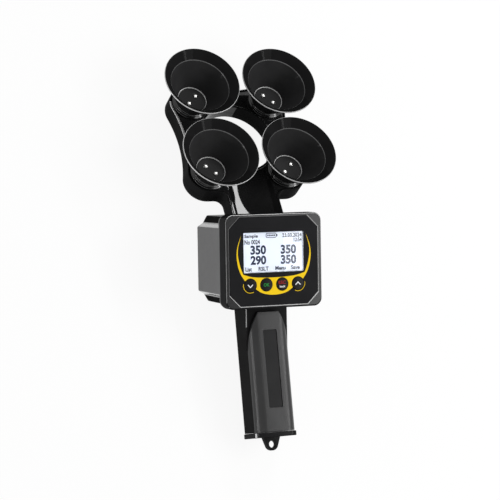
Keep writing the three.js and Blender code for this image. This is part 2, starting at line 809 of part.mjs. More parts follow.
// The housing's cross-shaped outline: its corners are cut away for the screws. At each corner
// a slanted ledge runs into a slanted wall through a hollow round
function crossOutline(inset) {
  const x = bezelWidth / 2 - housingInset - inset;
  const y = housingTop - inset;
  const turn = housingCorner;
  const quarter = [
    ...arc(x - turn, y - ledgeDrop - turn, turn, 0, ledgeSlant, cornerSteps),
    ...arc(x - hollowSide, y - hollowDrop, hollowRadius, 180 + ledgeSlant, 180 + wallSlant, cornerSteps),
    ...arc(x - wallSide - turn, y - turn, turn, wallSlant, 90, cornerSteps),
  ];
  const flipX = (points) => points.map((p) => new THREE.Vector2(-p.x, p.y)).reverse();
  const flipY = (points) => points.map((p) => new THREE.Vector2(p.x, -p.y)).reverse();
  return [...quarter, ...flipX(quarter), ...flipY(flipX(quarter)), ...flipY(quarter)];
}

// The sides draw in a little towards the back, as a moulded tub's do
function drafted(geometry) {
  const position = geometry.attributes.position;
  for (let i = 0; i < position.count; i += 1) {
    const share = 1 - housingDraftShare * Math.max(0, -position.getZ(i) / housingDepth);
    position.setX(i, position.getX(i) * share);
    position.setY(i, position.getY(i) * share);
  }
  return geometry;
}

function gripSpigot(grown) {
  const half = gripWidth / 2 - gripSpigotInset + grown;
  const low = -gripDepth + gripSpigotInset - grown;
  const high = -shoulderDrop - gripSpigotInset + grown;
  return solid(block(-half, half, -farAway, farAway, low, high));
}

function buildHousing() {
  const flangeOutline = centredRectangle(
    bezelWidth - 2 * housingFlangeInset,
    bezelHeight - 2 * housingFlangeInset,
    bezelCorner - housingFlangeInset,
  );
  const flange = solid(prism(flangeOutline, flangeBack, flangeFront));
  const tubTop = flangeBack + housingEdge + overrun;
  const tub = solid(drafted(prism(crossOutline(0), -housingDepth, tubTop, { edge: housingEdge })));
  const tubCut = tub.intersect(layer(-farAway, flangeBack + overrun));
  const room = solid(drafted(prism(crossOutline(housingWall), -housingDepth + housingWall, 0)));
  const neckOpening = neckSpigot(gap).intersect(level(0, farAway, bodyToHead)).getMesh();
  const gripOpening = gripSpigot(gap).intersect(level(-farAway, 0, bodyToGrip)).getMesh();
  const holes = boxCorners.map(({ x, y }) => solid(disc(x, y, screwShank + gap, flangeBack - overrun, 0)));
  addPiece(body, 'rear_housing', cut(
    joined(flange, tubCut),
    room,
    moved(neckOpening, headToBody),
    moved(gripOpening, gripToBody),
    ...holes,
  ), satinBlack);
  boxCorners.forEach(({ x, y }, i) => {
    const seat = flangeBack - gap;
    const screw = turned([
      [0, seat - screwHeadHeight],
      [boxScrewHeadRadius, seat - screwHeadHeight],
      [boxScrewHeadRadius, seat],
      [screwShank, seat],
      [screwShank, -bezelDepth + postBore - overrun],
      [0, -bezelDepth + postBore - overrun],
    ], smallSides).translate(x, y, 0);
    addPiece(body, `housing_screw_${i + 1}`, solid(screw), steel);
  });
}

// A solid of one frame as a solid of another
function moved({ vertProperties, triVerts }, matrix) {
  const geometry = new THREE.BufferGeometry();
  geometry.setAttribute('position', new THREE.BufferAttribute(vertProperties.slice(), 3));
  geometry.setIndex(new THREE.BufferAttribute(triVerts.slice(), 1));
  return solid(geometry, matrix);
}

// Grip: a rear shell, a front shell that shows an arch at its top, and the end cap

const leanSlope = Math.tan(radians(gripLean));
const gripTop = gripSetback;
const knee = -(gripPartingDepth - shoulderDrop) / leanSlope;

// The height of the shoulder's front face, which stays parallel to the front of the box
function shoulderHeight(y) {
  return -shoulderDrop + y * leanSlope;
}

function yz(y, z) {
  return new THREE.Vector2(y, z);
}

// What lies in front of the parting between the two shells
function frontRegion(offset) {
  return solid(alongX([
    yz(-gripLength - farAway, -gripPartingDepth + offset),
    yz(knee, -gripPartingDepth + offset),
    yz(gripTop, shoulderHeight(gripTop) + offset),
    yz(gripTop, gripDepth),
    yz(-gripLength - farAway, gripDepth),
  ], -gripWidth, gripWidth));
}

function gripSection(inset) {
  const half = gripWidth / 2 - inset;
  const low = -gripDepth + inset;
  return rounded(-half, half, low, -inset, gripBackRadius - inset, gripFrontRadius - inset);
}

function gripBar(inset, low, high) {
  return solid(alongY(gripSection(inset), low, high));
}

// The wedge that carries the arch: its face stays parallel to the box
function shoulder() {
  const low = knee + gripWall;
  return solid(alongX([
    yz(low, shoulderHeight(low) - gripWall),
    yz(low, shoulderHeight(low)),
    yz(gripTop, shoulderHeight(gripTop)),
    yz(gripTop, -shoulderDepth),
  ], -shoulderWidth / 2, shoulderWidth / 2, { edge: overrun }));
}

// Room for the cells and wires; its front closes over the shoulder
function gripRoom() {
  const all = gripBar(gripWall, -gripLength - overrun, gripTop);
  const kept = solid(alongX([
    yz(knee - gripWall, gripDepth),
    yz(knee - gripWall, -gripPartingDepth - gripWall),
    yz(knee, -gripPartingDepth - gripWall),
    yz(gripTop + overrun, shoulderHeight(gripTop) - gripWall),
    yz(gripTop + overrun, gripDepth),
  ], -gripWidth, gripWidth));
  return all.subtract(kept);
}

function archRegion() {
  const half = gripWidth / 2;
  const topHalf = archTopWidth / 2;
  const inward = half - topHalf;
  const radius = (inward * inward + archDrop * archDrop) / (2 * inward);
  const sweep = degrees(Math.asin(archDrop / radius));
  const startY = -archTop - archDrop;
  return solid(prism([
    new THREE.Vector2(half + overrun, -gripLength - overrun),
    new THREE.Vector2(half + overrun, startY - overrun),
    ...arc(half - radius, startY, radius, 0, sweep, waistSteps),
    ...arc(radius - half, startY, radius, 180 - sweep, 180, waistSteps),
    new THREE.Vector2(-half - overrun, startY - overrun),
    new THREE.Vector2(-half - overrun, -gripLength - overrun),
  ], -gripDepth, overrun));
}

const capScrewX = gripWidth / 2 - gripWall - bossRadius;
const capScrewZ = -gripDepth / 2;
const capTop = -gripLength - gap - capSealThickness - gap;
const capBottom = capTop - capThickness;

function plateOutline(grown) {
  return rounded(
    -plateWidth / 2 - grown,
    plateWidth / 2 + grown,
    -plateTop - plateLength - grown,
    -plateTop + grown,
    plateCorner,
  );
}

function buildGrip() {
  const room = gripRoom();
  const bar = gripBar(0, -gripLength, gripTop);
  const rear = joined(bar.subtract(frontRegion(0)), shoulder());
  const seated = rear.subtract(level(-housingTop - gap, farAway, bodyToGrip));
  const stubLow = -housingTop - gap - overrun;
  const stub = gripSpigot(0).intersect(level(stubLow, spigotReach - housingCeiling, bodyToGrip));
  const barbLow = gap - housingCeiling;
  const barb = gripSpigot(barbWidth).intersect(level(barbLow, barbLow + barbHeight, bodyToGrip));
  const roomLow = -housingTop - gripWall - shoulderDrop;
  const stubRoom = gripSpigot(-gripWall).intersect(level(roomLow, farAway, bodyToGrip));
  const bosses = [-1, 1].map((sign) => solid(alongY(
    circle(sign * capScrewX, capScrewZ, bossRadius + gap, smallSides),
    -gripLength,
    -gripLength + capBossDepth,
  )).intersect(gripBar(gap, -gripLength, 0)));
  const bores = [-1, 1].map((sign) => solid(alongY(
    circle(sign * capScrewX, capScrewZ, screwShank + gap, smallSides),
    -gripLength - overrun,
    -gripLength + capBossDepth - overrun,
  )));
  const shell = cut(joined(seated, stub, barb), room, stubRoom);
  addPiece(grip, 'grip_rear_shell', cut(joined(shell, ...bosses), ...bores), glossBlack);
  const cover = gripBar(0, -gripLength, -archTop).intersect(frontRegion(gap)).intersect(archRegion());
  const plateRecess = solid(prism(plateOutline(gap), -plateSink, overrun));
  const pad = cut(cover, room, plateRecess);
  addPiece(grip, 'grip_front_shell', pad, gripGrey);
  const plateLow = -plateSink + gap;
  const plate = prism(plateOutline(0), plateLow, plateLow + plateThickness);
  addPiece(grip, 'grip_plate', solid(plate), plateBlack);
}

function lugOutline() {
  const low = capBottom - lugDrop;
  return [
    new THREE.Vector2(-lugRootWidth / 2, capBottom + overrun),
    ...arc(0, low, lugRadius, 200, 340, cornerSteps + cornerSteps),
    new THREE.Vector2(lugRootWidth / 2, capBottom + overrun),
  ];
}

function buildEndCap() {
  const half = gripWidth / 2 + capProud;
  const plan = rounded(-half, half, -gripDepth - capProud, capProud, gripBackRadius, capFrontRadius);
  const plate = solid(alongY(plan, capBottom, capTop, { edge: capEdge }));
  const lugHole = circle(0, capBottom - lugDrop, lugHoleRadius, 2 * smallSides);
  const lugLow = capScrewZ - lugThickness / 2;
  const lug = solid(prism(lugOutline(), lugLow, lugLow + lugThickness, { holes: [lugHole] }));
  const headSeat = capBottom + screwHeadHeight;
  const capHole = (x, radius, top) => (
    solid(alongY(circle(x, capScrewZ, radius, smallSides), capBottom - overrun, top))
  );
  const holes = [-1, 1].flatMap((sign) => [
    capHole(sign * capScrewX, screwShank + gap, capTop + overrun),
    capHole(sign * capScrewX, screwHeadRadius + gap, headSeat + gap),
  ]);
  addPiece(grip, 'end_cap', cut(joined(plate, lug), ...holes), satinBlack);
  const sealHole = gripSection(gripWall + gap);
  const seal = solid(alongY(gripSection(gap), capTop + gap, -gripLength - gap, { holes: [sealHole] }));
  addPiece(grip, 'end_cap_seal', seal, rubberBlack);
  [-1, 1].forEach((sign, i) => {
    const screw = turned([
      [0, 0],
      [screwHeadRadius, 0],
      [screwHeadRadius, screwHeadHeight],
      [screwShank, screwHeadHeight],
      [screwShank, capTop - capBottom + screwGrip],
      [0, capTop - capBottom + screwGrip],
    ], smallSides).rotateX(-Math.PI / 2).translate(sign * capScrewX, capBottom, capScrewZ);
    addPiece(grip, `end_cap_screw_${i + 1}`, solid(screw), steel);
  });
}

// Four cells, two by two, in a holder that the end cap keeps in
function buildBattery() {
  const low = -gripLength + capBossDepth + holderClear;
  const top = knee - gripWall - holderTopRoom;
  const bay = low + holderEnd + gap;
  const bayTop = top - holderEnd;
  const cellLength = bayTop - gap - cellNubHeight - bay;
  const ends = [
    solid(alongY(gripSection(gripWall + gap), low, low + holderEnd)),
    solid(alongY(gripSection(gripWall + gap), bayTop, top)),
  ];
  const reach = cellRadius + cellWeb;
  const webs = [
    block(-reach, reach, low, top, capScrewZ - cellWeb / 2, capScrewZ + cellWeb / 2),
    block(-cellWeb / 2, cellWeb / 2, low, top, capScrewZ - reach, capScrewZ + reach),
  ];
  addPiece(grip, 'cell_holder', joined(...ends, ...webs.map((web) => solid(web))), nylonWhite);
  const offset = cellRadius + cellWeb / 2 + gap;
  [[-1, 1], [1, 1], [-1, -1], [1, -1]].forEach(([x, z], i) => {
    const cell = turned([
      [0, 0],
      [cellRadius, 0],
      [cellRadius, cellLength],
      [cellNubRadius, cellLength],
      [cellNubRadius, cellLength + cellNubHeight],
      [0, cellLength + cellNubHeight],
    ], 2 * smallSides).rotateX(-Math.PI / 2).translate(x * offset, bay, capScrewZ + z * offset);
    addPiece(grip, `cell_${i + 1}`, solid(cell), cellSilver);
  });
  return top;
}

// The two wires from the holder to the board, as one lead
function buildLead(holderTop) {
  const start = new THREE.Vector3(0, holderTop + gap, capScrewZ);
  const bend = new THREE.Vector3(0, holderTop + gripDepth / 2, capScrewZ);
  const boardEnd = new THREE.Vector3(0, -boardHeight / 4, -boardDepth - boardThickness - gap);
  const nearBoard = boardEnd.clone().add(new THREE.Vector3(0, 0, -gripWall * 2));
  const points = [start, bend, nearBoard.applyMatrix4(bodyToGrip), boardEnd.applyMatrix4(bodyToGrip)];
  addPiece(grip, 'battery_lead', solid(rod(points, leadRadius, wireSides, wireSteps)), wireGrey);
}

buildHeadFrame();
cupPlaces.forEach(buildCup);
buildHarness();
buildBezel();
buildOverlay();
buildDisplay();
buildKeys();
buildBoard();
buildGasket();
buildHousing();
buildGrip();
buildEndCap();
buildLead(buildBattery());

// Lowest corner of the model on one side of the box when it lies at a given lean
function lowestPoint(corners, lean, side) {
  let lowest = null;
  corners.filter((corner) => side * corner.y > 0).forEach((corner) => {
    const height = corner.y * Math.sin(lean) + corner.z * Math.cos(lean);
    if (lowest === null || height < lowest.height) {
      lowest = { height, corner };
    }
  });
  return lowest.corner;
}

// The lean at which the head and the lower edge of the box rest on one level
function restLean() {
  const corners = [];
  body.updateMatrixWorld(true);
  body.traverse((mesh) => {
    if (mesh.isMesh) {
      const position = mesh.geometry.attributes.position;
      for (let i = 0; i < position.count; i += 1) {
        corners.push(new THREE.Vector3().fromBufferAttribute(position, i).applyMatrix4(mesh.matrixWorld));
      }
    }
  });
  let lean = 0;
  for (let i = 0; i < waistSteps; i += 1) {
    const upper = lowestPoint(corners, lean, 1);
    const lower = lowestPoint(corners, lean, -1);
    lean = Math.atan2(lower.z - upper.z, upper.y - lower.y);
  }
  return lean;
}

const mastitisDetector = new THREE.Group();
body.rotation.x = restLean();
mastitisDetector.add(body);
const bounds = new THREE.Box3().setFromObject(mastitisDetector, true);
const middle = bounds.getCenter(new THREE.Vector3());
body.position.set(-middle.x, -middle.y, -bounds.min.z);

export default mastitisDetector;
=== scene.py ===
"""A hand-held milk tester lying on its back: four cups on a ring, a box with a screen, and a grip."""

import json
from math import asin, atan2, cos, degrees, hypot, pi, radians, sin, sqrt

import bmesh
import bpy
from mathutils import Matrix, Vector


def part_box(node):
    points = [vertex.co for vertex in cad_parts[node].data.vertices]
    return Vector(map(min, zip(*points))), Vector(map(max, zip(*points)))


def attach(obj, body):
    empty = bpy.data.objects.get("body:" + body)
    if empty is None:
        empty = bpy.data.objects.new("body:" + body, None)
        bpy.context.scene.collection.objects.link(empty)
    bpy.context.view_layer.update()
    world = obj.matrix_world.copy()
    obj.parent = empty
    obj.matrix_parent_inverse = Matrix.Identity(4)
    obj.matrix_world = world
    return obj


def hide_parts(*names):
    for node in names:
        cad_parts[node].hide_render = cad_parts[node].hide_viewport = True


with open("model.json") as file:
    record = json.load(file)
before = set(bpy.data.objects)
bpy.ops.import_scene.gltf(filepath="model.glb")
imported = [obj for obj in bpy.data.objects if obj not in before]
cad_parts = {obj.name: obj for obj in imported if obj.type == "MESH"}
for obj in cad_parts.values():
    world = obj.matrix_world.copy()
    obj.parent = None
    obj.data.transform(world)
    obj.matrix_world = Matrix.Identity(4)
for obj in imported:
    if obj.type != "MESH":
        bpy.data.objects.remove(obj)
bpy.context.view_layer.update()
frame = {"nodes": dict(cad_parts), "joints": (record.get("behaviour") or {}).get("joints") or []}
MM = 0.001

# Frames: each piece is modelled in millimetres in the frame of the box, the head or the grip
HEAD_LEAN = radians(33.2)
GRIP_LEAN = radians(9.9)
HEAD_PLACE = (0, 137.65, -49)
GRIP_PLACE = (0, -44.65, -16.2)
SCREEN_ROW = 8.2
PANE_MIDDLE = -1
press = Vector(next(j for j in frame["joints"] if j["name"] == "press_down")["axis"])
BODY_LEAN = atan2(press.y, -press.z)
turn = Matrix.Rotation(BODY_LEAN, 4, "X")
pane_low, pane_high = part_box("display_window")
origin = (pane_low + pane_high) / 2 - (turn @ Vector((0, SCREEN_ROW, PANE_MIDDLE))) * MM
BOX = Matrix.Translation(origin) @ turn @ Matrix.Scale(MM, 4)
HEAD = BOX @ Matrix.Translation(HEAD_PLACE) @ Matrix.Rotation(-HEAD_LEAN, 4, "X")
GRIP = BOX @ Matrix.Translation(GRIP_PLACE) @ Matrix.Rotation(-GRIP_LEAN, 4, "X")

# Places of the cups on the head and of the keys on the box
HALF_PITCH = 40.5
CUPS = {
    "far_left": (-HALF_PITCH, HALF_PITCH),
    "far_right": (HALF_PITCH, HALF_PITCH),
    "near_left": (-HALF_PITCH, -HALF_PITCH),
    "near_right": (HALF_PITCH, -HALF_PITCH),
}
KEYS = {"down": -24.6, "ok": -8.2, "esc": 8.2, "up": 24.6}
KEY_ROW = -22.3
BOX_TOP = 42.25


# Shader nodes
def feed(links, socket, value):
    """Links an output to a socket, or sets a plain value on it."""
    if hasattr(value, "node"):
        links.new(value, socket)
    else:
        socket.default_value = value


def set_inputs(node, values):
    for name, value in values.items():
        node.inputs[name].default_value = value


def object_place(nodes):
    return nodes.new("ShaderNodeTexCoord").outputs["Object"]


def add_noise(nodes, links, vector, scale, detail):
    noise = nodes.new("ShaderNodeTexNoise")
    links.new(vector, noise.inputs["Vector"])
    feed(links, noise.inputs["Scale"], scale)
    noise.inputs["Detail"].default_value = detail
    return noise.outputs["Fac"]


def add_range(nodes, links, value, low, high, to_low, to_high):
    part = nodes.new("ShaderNodeMapRange")
    links.new(value, part.inputs["Value"])
    for name, setting in (("From Min", low), ("From Max", high), ("To Min", to_low), ("To Max", to_high)):
        feed(links, part.inputs[name], setting)
    return part.outputs["Result"]


def add_math(nodes, links, operation, *values):
    part = nodes.new("ShaderNodeMath")
    part.operation = operation
    for socket, value in zip(part.inputs, values):
        feed(links, socket, value)
    return part.outputs[0]


def add_tint(nodes, links, color, brightness):
    tint = nodes.new("ShaderNodeHueSaturation")
    feed(links, tint.inputs["Color"], color)
    links.new(brightness, tint.inputs["Value"])
    return tint.outputs["Color"]


def add_bump(nodes, links, height, strength, distance, normal=None):
    bump = nodes.new("ShaderNodeBump")
    bump.inputs["Distance"].default_value = distance
    links.new(height, bump.inputs["Height"])
    links.new(strength, bump.inputs["Strength"])
    if normal is not None:
        links.new(normal, bump.inputs["Normal"])
    return bump.outputs["Normal"]


SKIN_INPUTS = {
    "Color": (0.02, 0.02, 0.02, 1),
    "Mottle": 0.15,
    "Roughness": 0.2,
    "Marks": 0.05,
    "Grain Scale": 1400.0,
    "Grain": 0.1,
    "Waves": 0.1,
}
SKIN_OUTPUTS = {"Color": "NodeSocketColor", "Roughness": "NodeSocketFloat", "Normal": "NodeSocketVector"}
WAVE_DEPTH = 0.0006
GRAIN_DEPTH = 0.0002


def make_moulded_group():
    """Moulded plastic: slow waves of the skin, fine grain, faint mottling and handling marks."""
    group = bpy.data.node_groups.new("moulded_skin", "ShaderNodeTree")
    for label, value in SKIN_INPUTS.items():
        kind = "NodeSocketColor" if label == "Color" else "NodeSocketFloat"
        socket = group.interface.new_socket(label, in_out="INPUT", socket_type=kind)
        socket.default_value = value
    for label, kind in SKIN_OUTPUTS.items():
        group.interface.new_socket(label, in_out="OUTPUT", socket_type=kind)
    nodes, links = group.nodes, group.links
    entry = nodes.new("NodeGroupInput").outputs
    leave = nodes.new("NodeGroupOutput").inputs
    place = object_place(nodes)
    cloud = add_noise(nodes, links, place, 60, 4)
    smear = add_noise(nodes, links, place, 240, 5)
    grain = add_noise(nodes, links, place, entry["Grain Scale"], 2)
    wave = add_noise(nodes, links, place, 35, 1)
    darkest = add_math(nodes, links, "SUBTRACT", 1, entry["Mottle"])
    lightest = add_math(nodes, links, "ADD", 1, entry["Mottle"])
    brightness = add_range(nodes, links, cloud, 0.35, 0.65, darkest, lightest)
    links.new(add_tint(nodes, links, entry["Color"], brightness), leave["Color"])
    handled = add_range(nodes, links, smear, 0.4, 0.7, 0, 1)
    rough = add_math(nodes, links, "MULTIPLY_ADD", handled, entry["Marks"], entry["Roughness"])
    links.new(rough, leave["Roughness"])
    slow = add_bump(nodes, links, wave, entry["Waves"], WAVE_DEPTH)
    links.new(add_bump(nodes, links, grain, entry["Grain"], GRAIN_DEPTH, slow), leave["Normal"])
    return group


MOULDED = make_moulded_group()


def new_material(name):
    material = bpy.data.materials.new(name)
    material.use_nodes = True
    shader = material.node_tree.nodes["Principled BSDF"]
    return material, material.node_tree.nodes, material.node_tree.links, shader


def moulded(
    name, color, rough, *, specular=0.5, coat=0.0, polish=0.06, mottle=0.1, marks=0.04, grain=0.08,
    grain_scale=1400, waves=0.1
):
    material, nodes, links, shader = new_material(name)
    skin = nodes.new("ShaderNodeGroup")
    skin.node_tree = MOULDED
    set_inputs(skin, {"Color": (*color, 1), "Mottle": mottle, "Roughness": rough, "Marks": marks})
    set_inputs(skin, {"Grain Scale": grain_scale, "Grain": grain, "Waves": waves})
    links.new(skin.outputs["Color"], shader.inputs["Base Color"])
    links.new(skin.outputs["Roughness"], shader.inputs["Roughness"])
    links.new(skin.outputs["Normal"], shader.inputs["Normal"])
    set_inputs(shader, {"Specular IOR Level": specular, "Coat Weight": coat, "Coat Roughness": polish})
    return material


def tone(level, cool=0.0):
    """A grey with a touch more blue."""
    return (level, level, level + cool)


def black(name, color, rough=0.3, **look):
    """Black plastic with all its shine in the coat."""
    return moulded(name, color, rough, specular=0, **look)


def painted_highlight_band(name, color, polish=0.2):
    """A light grey band that paints a highlight along an edge."""
    return moulded(name, color, 0.3, specular=0.8, coat=0.5, polish=polish)


def metal(name, color, rough):
    """Polished or brushed metal with faint smears in its shine."""
    material, nodes, links, shader = new_material(name)
    smear = add_noise(nodes, links, object_place(nodes), 500, 4)
    links.new(add_range(nodes, links, smear, 0.3, 0.7, rough * 0.7, rough * 1.4), shader.inputs["Roughness"])
    set_inputs(shader, {"Base Color": (*color, 1), "Metallic": 1})
    return material


def printed(name, color):
    """Screen-printed ink: nearly flat colour with a faint speckle."""
    material, nodes, links, shader = new_material(name)
    speckle = add_noise(nodes, links, object_place(nodes), 900, 3)
    brightness = add_range(nodes, links, speckle, 0.3, 0.7, 0.94, 1.05)
    links.new(add_tint(nodes, links, (*color, 1), brightness), shader.inputs["Base Color"])
    set_inputs(shader, {"Roughness": 0.42, "Specular IOR Level": 0.1})
    return material


def clear_pane(name):
    material, nodes, links, shader = new_material(name)
    smear = add_noise(nodes, links, object_place(nodes), 200, 4)
    links.new(add_range(nodes, links, smear, 0.5, 0.8, 0.0, 0.01), shader.inputs["Roughness"])
    set_inputs(shader, {"Base Color": (0.97, 0.985, 1, 1), "Transmission Weight": 1, "IOR": 1.3})
    return material


def lit_screen(name):
    """The display's white field, with a faint cloud in its light."""
    material, nodes, links, shader = new_material(name)
    cloud = add_noise(nodes, links, object_place(nodes), 25, 2)
    ramp = nodes.new("ShaderNodeValToRGB")
    stops = ((0.3, (0.78, 0.82, 0.92, 1)), (0.7, (0.83, 0.87, 0.96, 1)))
    for stop, (position, color) in zip(ramp.color_ramp.elements, stops):
        stop.position = position
        stop.color = color
    links.new(cloud, ramp.inputs["Fac"])
    links.new(ramp.outputs["Color"], shader.inputs["Base Color"])
    links.new(ramp.outputs["Color"], shader.inputs["Emission Color"])
    set_inputs(shader, {"Emission Strength": 0.14, "Roughness": 0.5})
    return material


def board_laminate(name):
    """Green solder mask over faint square tracks."""
    material, nodes, links, shader = new_material(name)
    bricks = nodes.new("ShaderNodeTexBrick")
    set_inputs(bricks, {"Scale": 160, "Color1": (0.02, 0.14, 0.06, 1), "Color2": (0.03, 0.19, 0.08, 1)})
    bricks.inputs["Mortar"].default_value = (0.10, 0.30, 0.12, 1)
    links.new(object_place(nodes), bricks.inputs["Vector"])
    links.new(bricks.outputs["Color"], shader.inputs["Base Color"])
    shader.inputs["Roughness"].default_value = 0.35
    return material


# Finishes
GLOSS_BLACK = black("gloss_black_plastic", tone(0.0088, 0.0002), coat=0.05, grain=0.03)
# Partly painted light: the frame's upward faces get a lighter black than its sides, together with a much
# glossier coat.
TOP_GLOSS_AND_PAINTED_LIGHT = black("gloss_black_top_painted_light", tone(0.014, 0.0003), coat=1, polish=0.04, grain=0.01, waves=0.02)
# Painted reflection: a glossy coat given only to the bore's left part, so that only that side shows
# reflections.
BORE_PAINTED_REFLECTION = black("gloss_black_bore_painted_reflection", tone(0.006, 0.0002), coat=0.75, polish=0.12, grain=0.03)
CUP_BLACK = black("cup_black_plastic", tone(0.0095, 0.0002), coat=0.035)
# Painted light: the inside of each cone is a lighter black than the cup, to lift the shade in it.
CONE_PAINTED_LIGHT = black("cup_inside_painted_light", tone(0.026, 0.0005), coat=0.04, polish=0.1)
FOOT_BLACK = black("foot_black_plastic", tone(0.007, 0.0002), coat=1, polish=0.1)
FLOOR_BLACK = black("cup_floor_black", tone(0.026, 0.0005), 0.4, coat=0.04, polish=0.3)
# Painted shade: the grey housing's notch walls in black.
NOTCH_PAINTED_SHADE = black("notch_painted_shade", tone(0.011), 0.4)
BEZEL_BLACK = black("bezel_black", tone(0.0095, 0.0005), 0.4, coat=0.09, polish=0.16, grain_scale=2200)
BEZEL_SHEEN = black("bezel_face_black", tone(0.0075, 0.0005), 0.4, coat=0.58, polish=0.16)
OVERLAY = black("overlay_charcoal", tone(0.0115, 0.001), 0.5, coat=0.06, polish=0.3, grain_scale=3000)
CAP_BLACK = black("cap_black", tone(0.009, 0.0005), 0.35, coat=0.12, polish=0.1)
KEY_BLACK = black("key_black", tone(0.0085), 0.4, coat=0.15, polish=0.15)
# Painted highlight: a near-white ring where each cup's floor sits.
SEAT_PAINTED_HIGHLIGHT = painted_highlight_band("seat_painted_highlight", tone(0.8))
# Painted highlight: light grey on the left waist's border, the bezel's top rim and the lower slope round its
# field.
STRONG_PAINTED_HIGHLIGHT = painted_highlight_band("strong_painted_highlight", tone(0.6))
# Painted highlight: grey bands on the cup rims, the bezel's right slope and the end cap's front corners.
BRIGHT_PAINTED_HIGHLIGHT = painted_highlight_band("bright_painted_highlight", tone(0.4))
# Painted highlight: fine grey lines round the hole's border, the bezel's slope and rim, and the end cap's
# rim.
FINE_PAINTED_HIGHLIGHT = painted_highlight_band("fine_painted_highlight", tone(0.2))
# Painted highlight: a dim grey band in the housing's hollow strips and along the grip's shoulder ridge.
SOFT_PAINTED_HIGHLIGHT = painted_highlight_band("soft_painted_highlight", tone(0.1, 0.001), 0.25)
# Painted highlight: a lighter grey band along the crease inside each cup.
CREASE_PAINTED_HIGHLIGHT = moulded("crease_painted_highlight", tone(0.085, 0.001), 0.28, specular=0.4, coat=0.3, polish=0.25)
# Partly painted highlight: a lighter grey than the housing on its ledge, together with a real glossy coat.
LEDGE_GLOSS_AND_PAINTED_HIGHLIGHT = moulded("ledge_gloss_and_painted_highlight", tone(0.06), 0.2, specular=0.6, coat=1, polish=0.1)
SATIN_GREY = moulded("satin_dark_grey", tone(0.039, 0.001), 0.38, grain=0.25, grain_scale=2200)
GRIP_GREY = moulded(
    "grip_grey_texture", tone(0.016, 0.0004), 0.3, specular=0.28, mottle=0.08, marks=0.03, grain=0.5,
    grain_scale=1900, waves=0.02
)
PLATE_DARK = moulded("plate_dark", tone(0.015, 0.0005), 0.5, specular=0.1, grain=0.5, grain_scale=1700)
RUBBER = moulded("seal_rubber", tone(0.012), 0.75, specular=0.3, grain=0.4, grain_scale=900)
NYLON = moulded("white_nylon", (0.62, 0.62, 0.58), 0.45)
SHEATH = moulded("wire_sheath", (0.12, 0.125, 0.13), 0.55)
CELL_CAN = moulded("cell_wrap", (0.25, 0.27, 0.3), 0.3, specular=0.6)
CHROME = metal("electrode_chrome", (0.86, 0.86, 0.84), 0.3)
STEEL = metal("screw_steel", tone(0.5), 0.3)
YELLOW = printed("yellow_ink", (0.88, 0.58, 0.004))
WHITE_INK = printed("white_ink", tone(0.85))
GREEN_INK = printed("green_ink", (0.015, 0.30, 0.045))
RED_INK = printed("red_ink", (0.42, 0.014, 0.018))
NAVY = printed("display_navy", (0.004, 0.016, 0.06))
NAVY_THIN = printed("display_navy_thin", (0.01, 0.02, 0.05))
PANE = clear_pane("clear_window")
SCREEN = lit_screen("display_white")
LAMINATE = board_laminate("board_laminate")


# Objects and meshes
def linked(name, data):
    """A new object in the scene."""
    made = bpy.data.objects.new(name, data)
    bpy.context.scene.collection.objects.link(made)
    return made


def mesh_of(bm, name):
    """A bmesh as a mesh, which uses the bmesh up."""
    mesh = bpy.data.meshes.new(name)
    bm.to_mesh(mesh)
    bm.free()
    return mesh


def discard(made):
    """Removes a helper object and its data."""
    data = made.data
    bpy.data.objects.remove(made)
    store = bpy.data.curves if isinstance(data, bpy.types.Curve) else bpy.data.meshes
    store.remove(data)


def final_mesh(made):
    """The shape of an object with its modifiers, or of a curve with its faces."""
    bpy.context.view_layer.update()
    return bpy.data.meshes.new_from_object(made.evaluated_get(bpy.context.evaluated_depsgraph_get()))


def everything(bm):
    return bm.verts[:] + bm.edges[:] + bm.faces[:]


def finish_piece(
    name, bm, place, material, body="tester", nodes=(), slot=None, sharp=32, even=True, bands=()
):
    """Turns a bmesh in a frame's millimetres into a piece that rides on a body.

    Each band is a finish and a test of a face's centre and normal. Its border is kept sharp.
    """
    for face in bm.faces:
        face.material_index = 0
        for number, (_, chosen) in enumerate(bands, start=1):
            if chosen(face.calc_center_median(), face.normal):
                face.material_index = number
    bm.transform(place)
    bm.edges.index_update()
    borders = [edge.index for edge in bm.edges if len({face.material_index for face in edge.link_faces}) > 1]
    mesh = mesh_of(bm, name)
    mesh.shade_smooth()
    mesh.set_sharp_from_angle(angle=radians(sharp))
    for index in borders:
        mesh.edges[index].use_edge_sharp = True
    for finish in (material, *(band for band, _ in bands)):
        mesh.materials.append(finish)
    piece = linked(name, mesh)
    if even:
        weights = piece.modifiers.new("even_shading", "WEIGHTED_NORMAL")
        weights.keep_sharp = True
    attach(piece, body)
    if nodes:
        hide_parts(*nodes)
    return piece


# Shapes
MERGE = 0.0005


def tidy(bm):
    bmesh.ops.remove_doubles(bm, verts=bm.verts, dist=MERGE)
    bmesh.ops.recalc_face_normals(bm, faces=bm.faces)
    return bm


def placed(bm, x, y, z):
    bmesh.ops.translate(bm, verts=bm.verts, vec=(x, y, z))
    return bm


def turned_over(bm, angle):
    """Turns a shape about the X axis."""
    bmesh.ops.rotate(bm, verts=bm.verts, cent=(0, 0, 0), matrix=Matrix.Rotation(radians(angle), 3, "X"))
    return bm


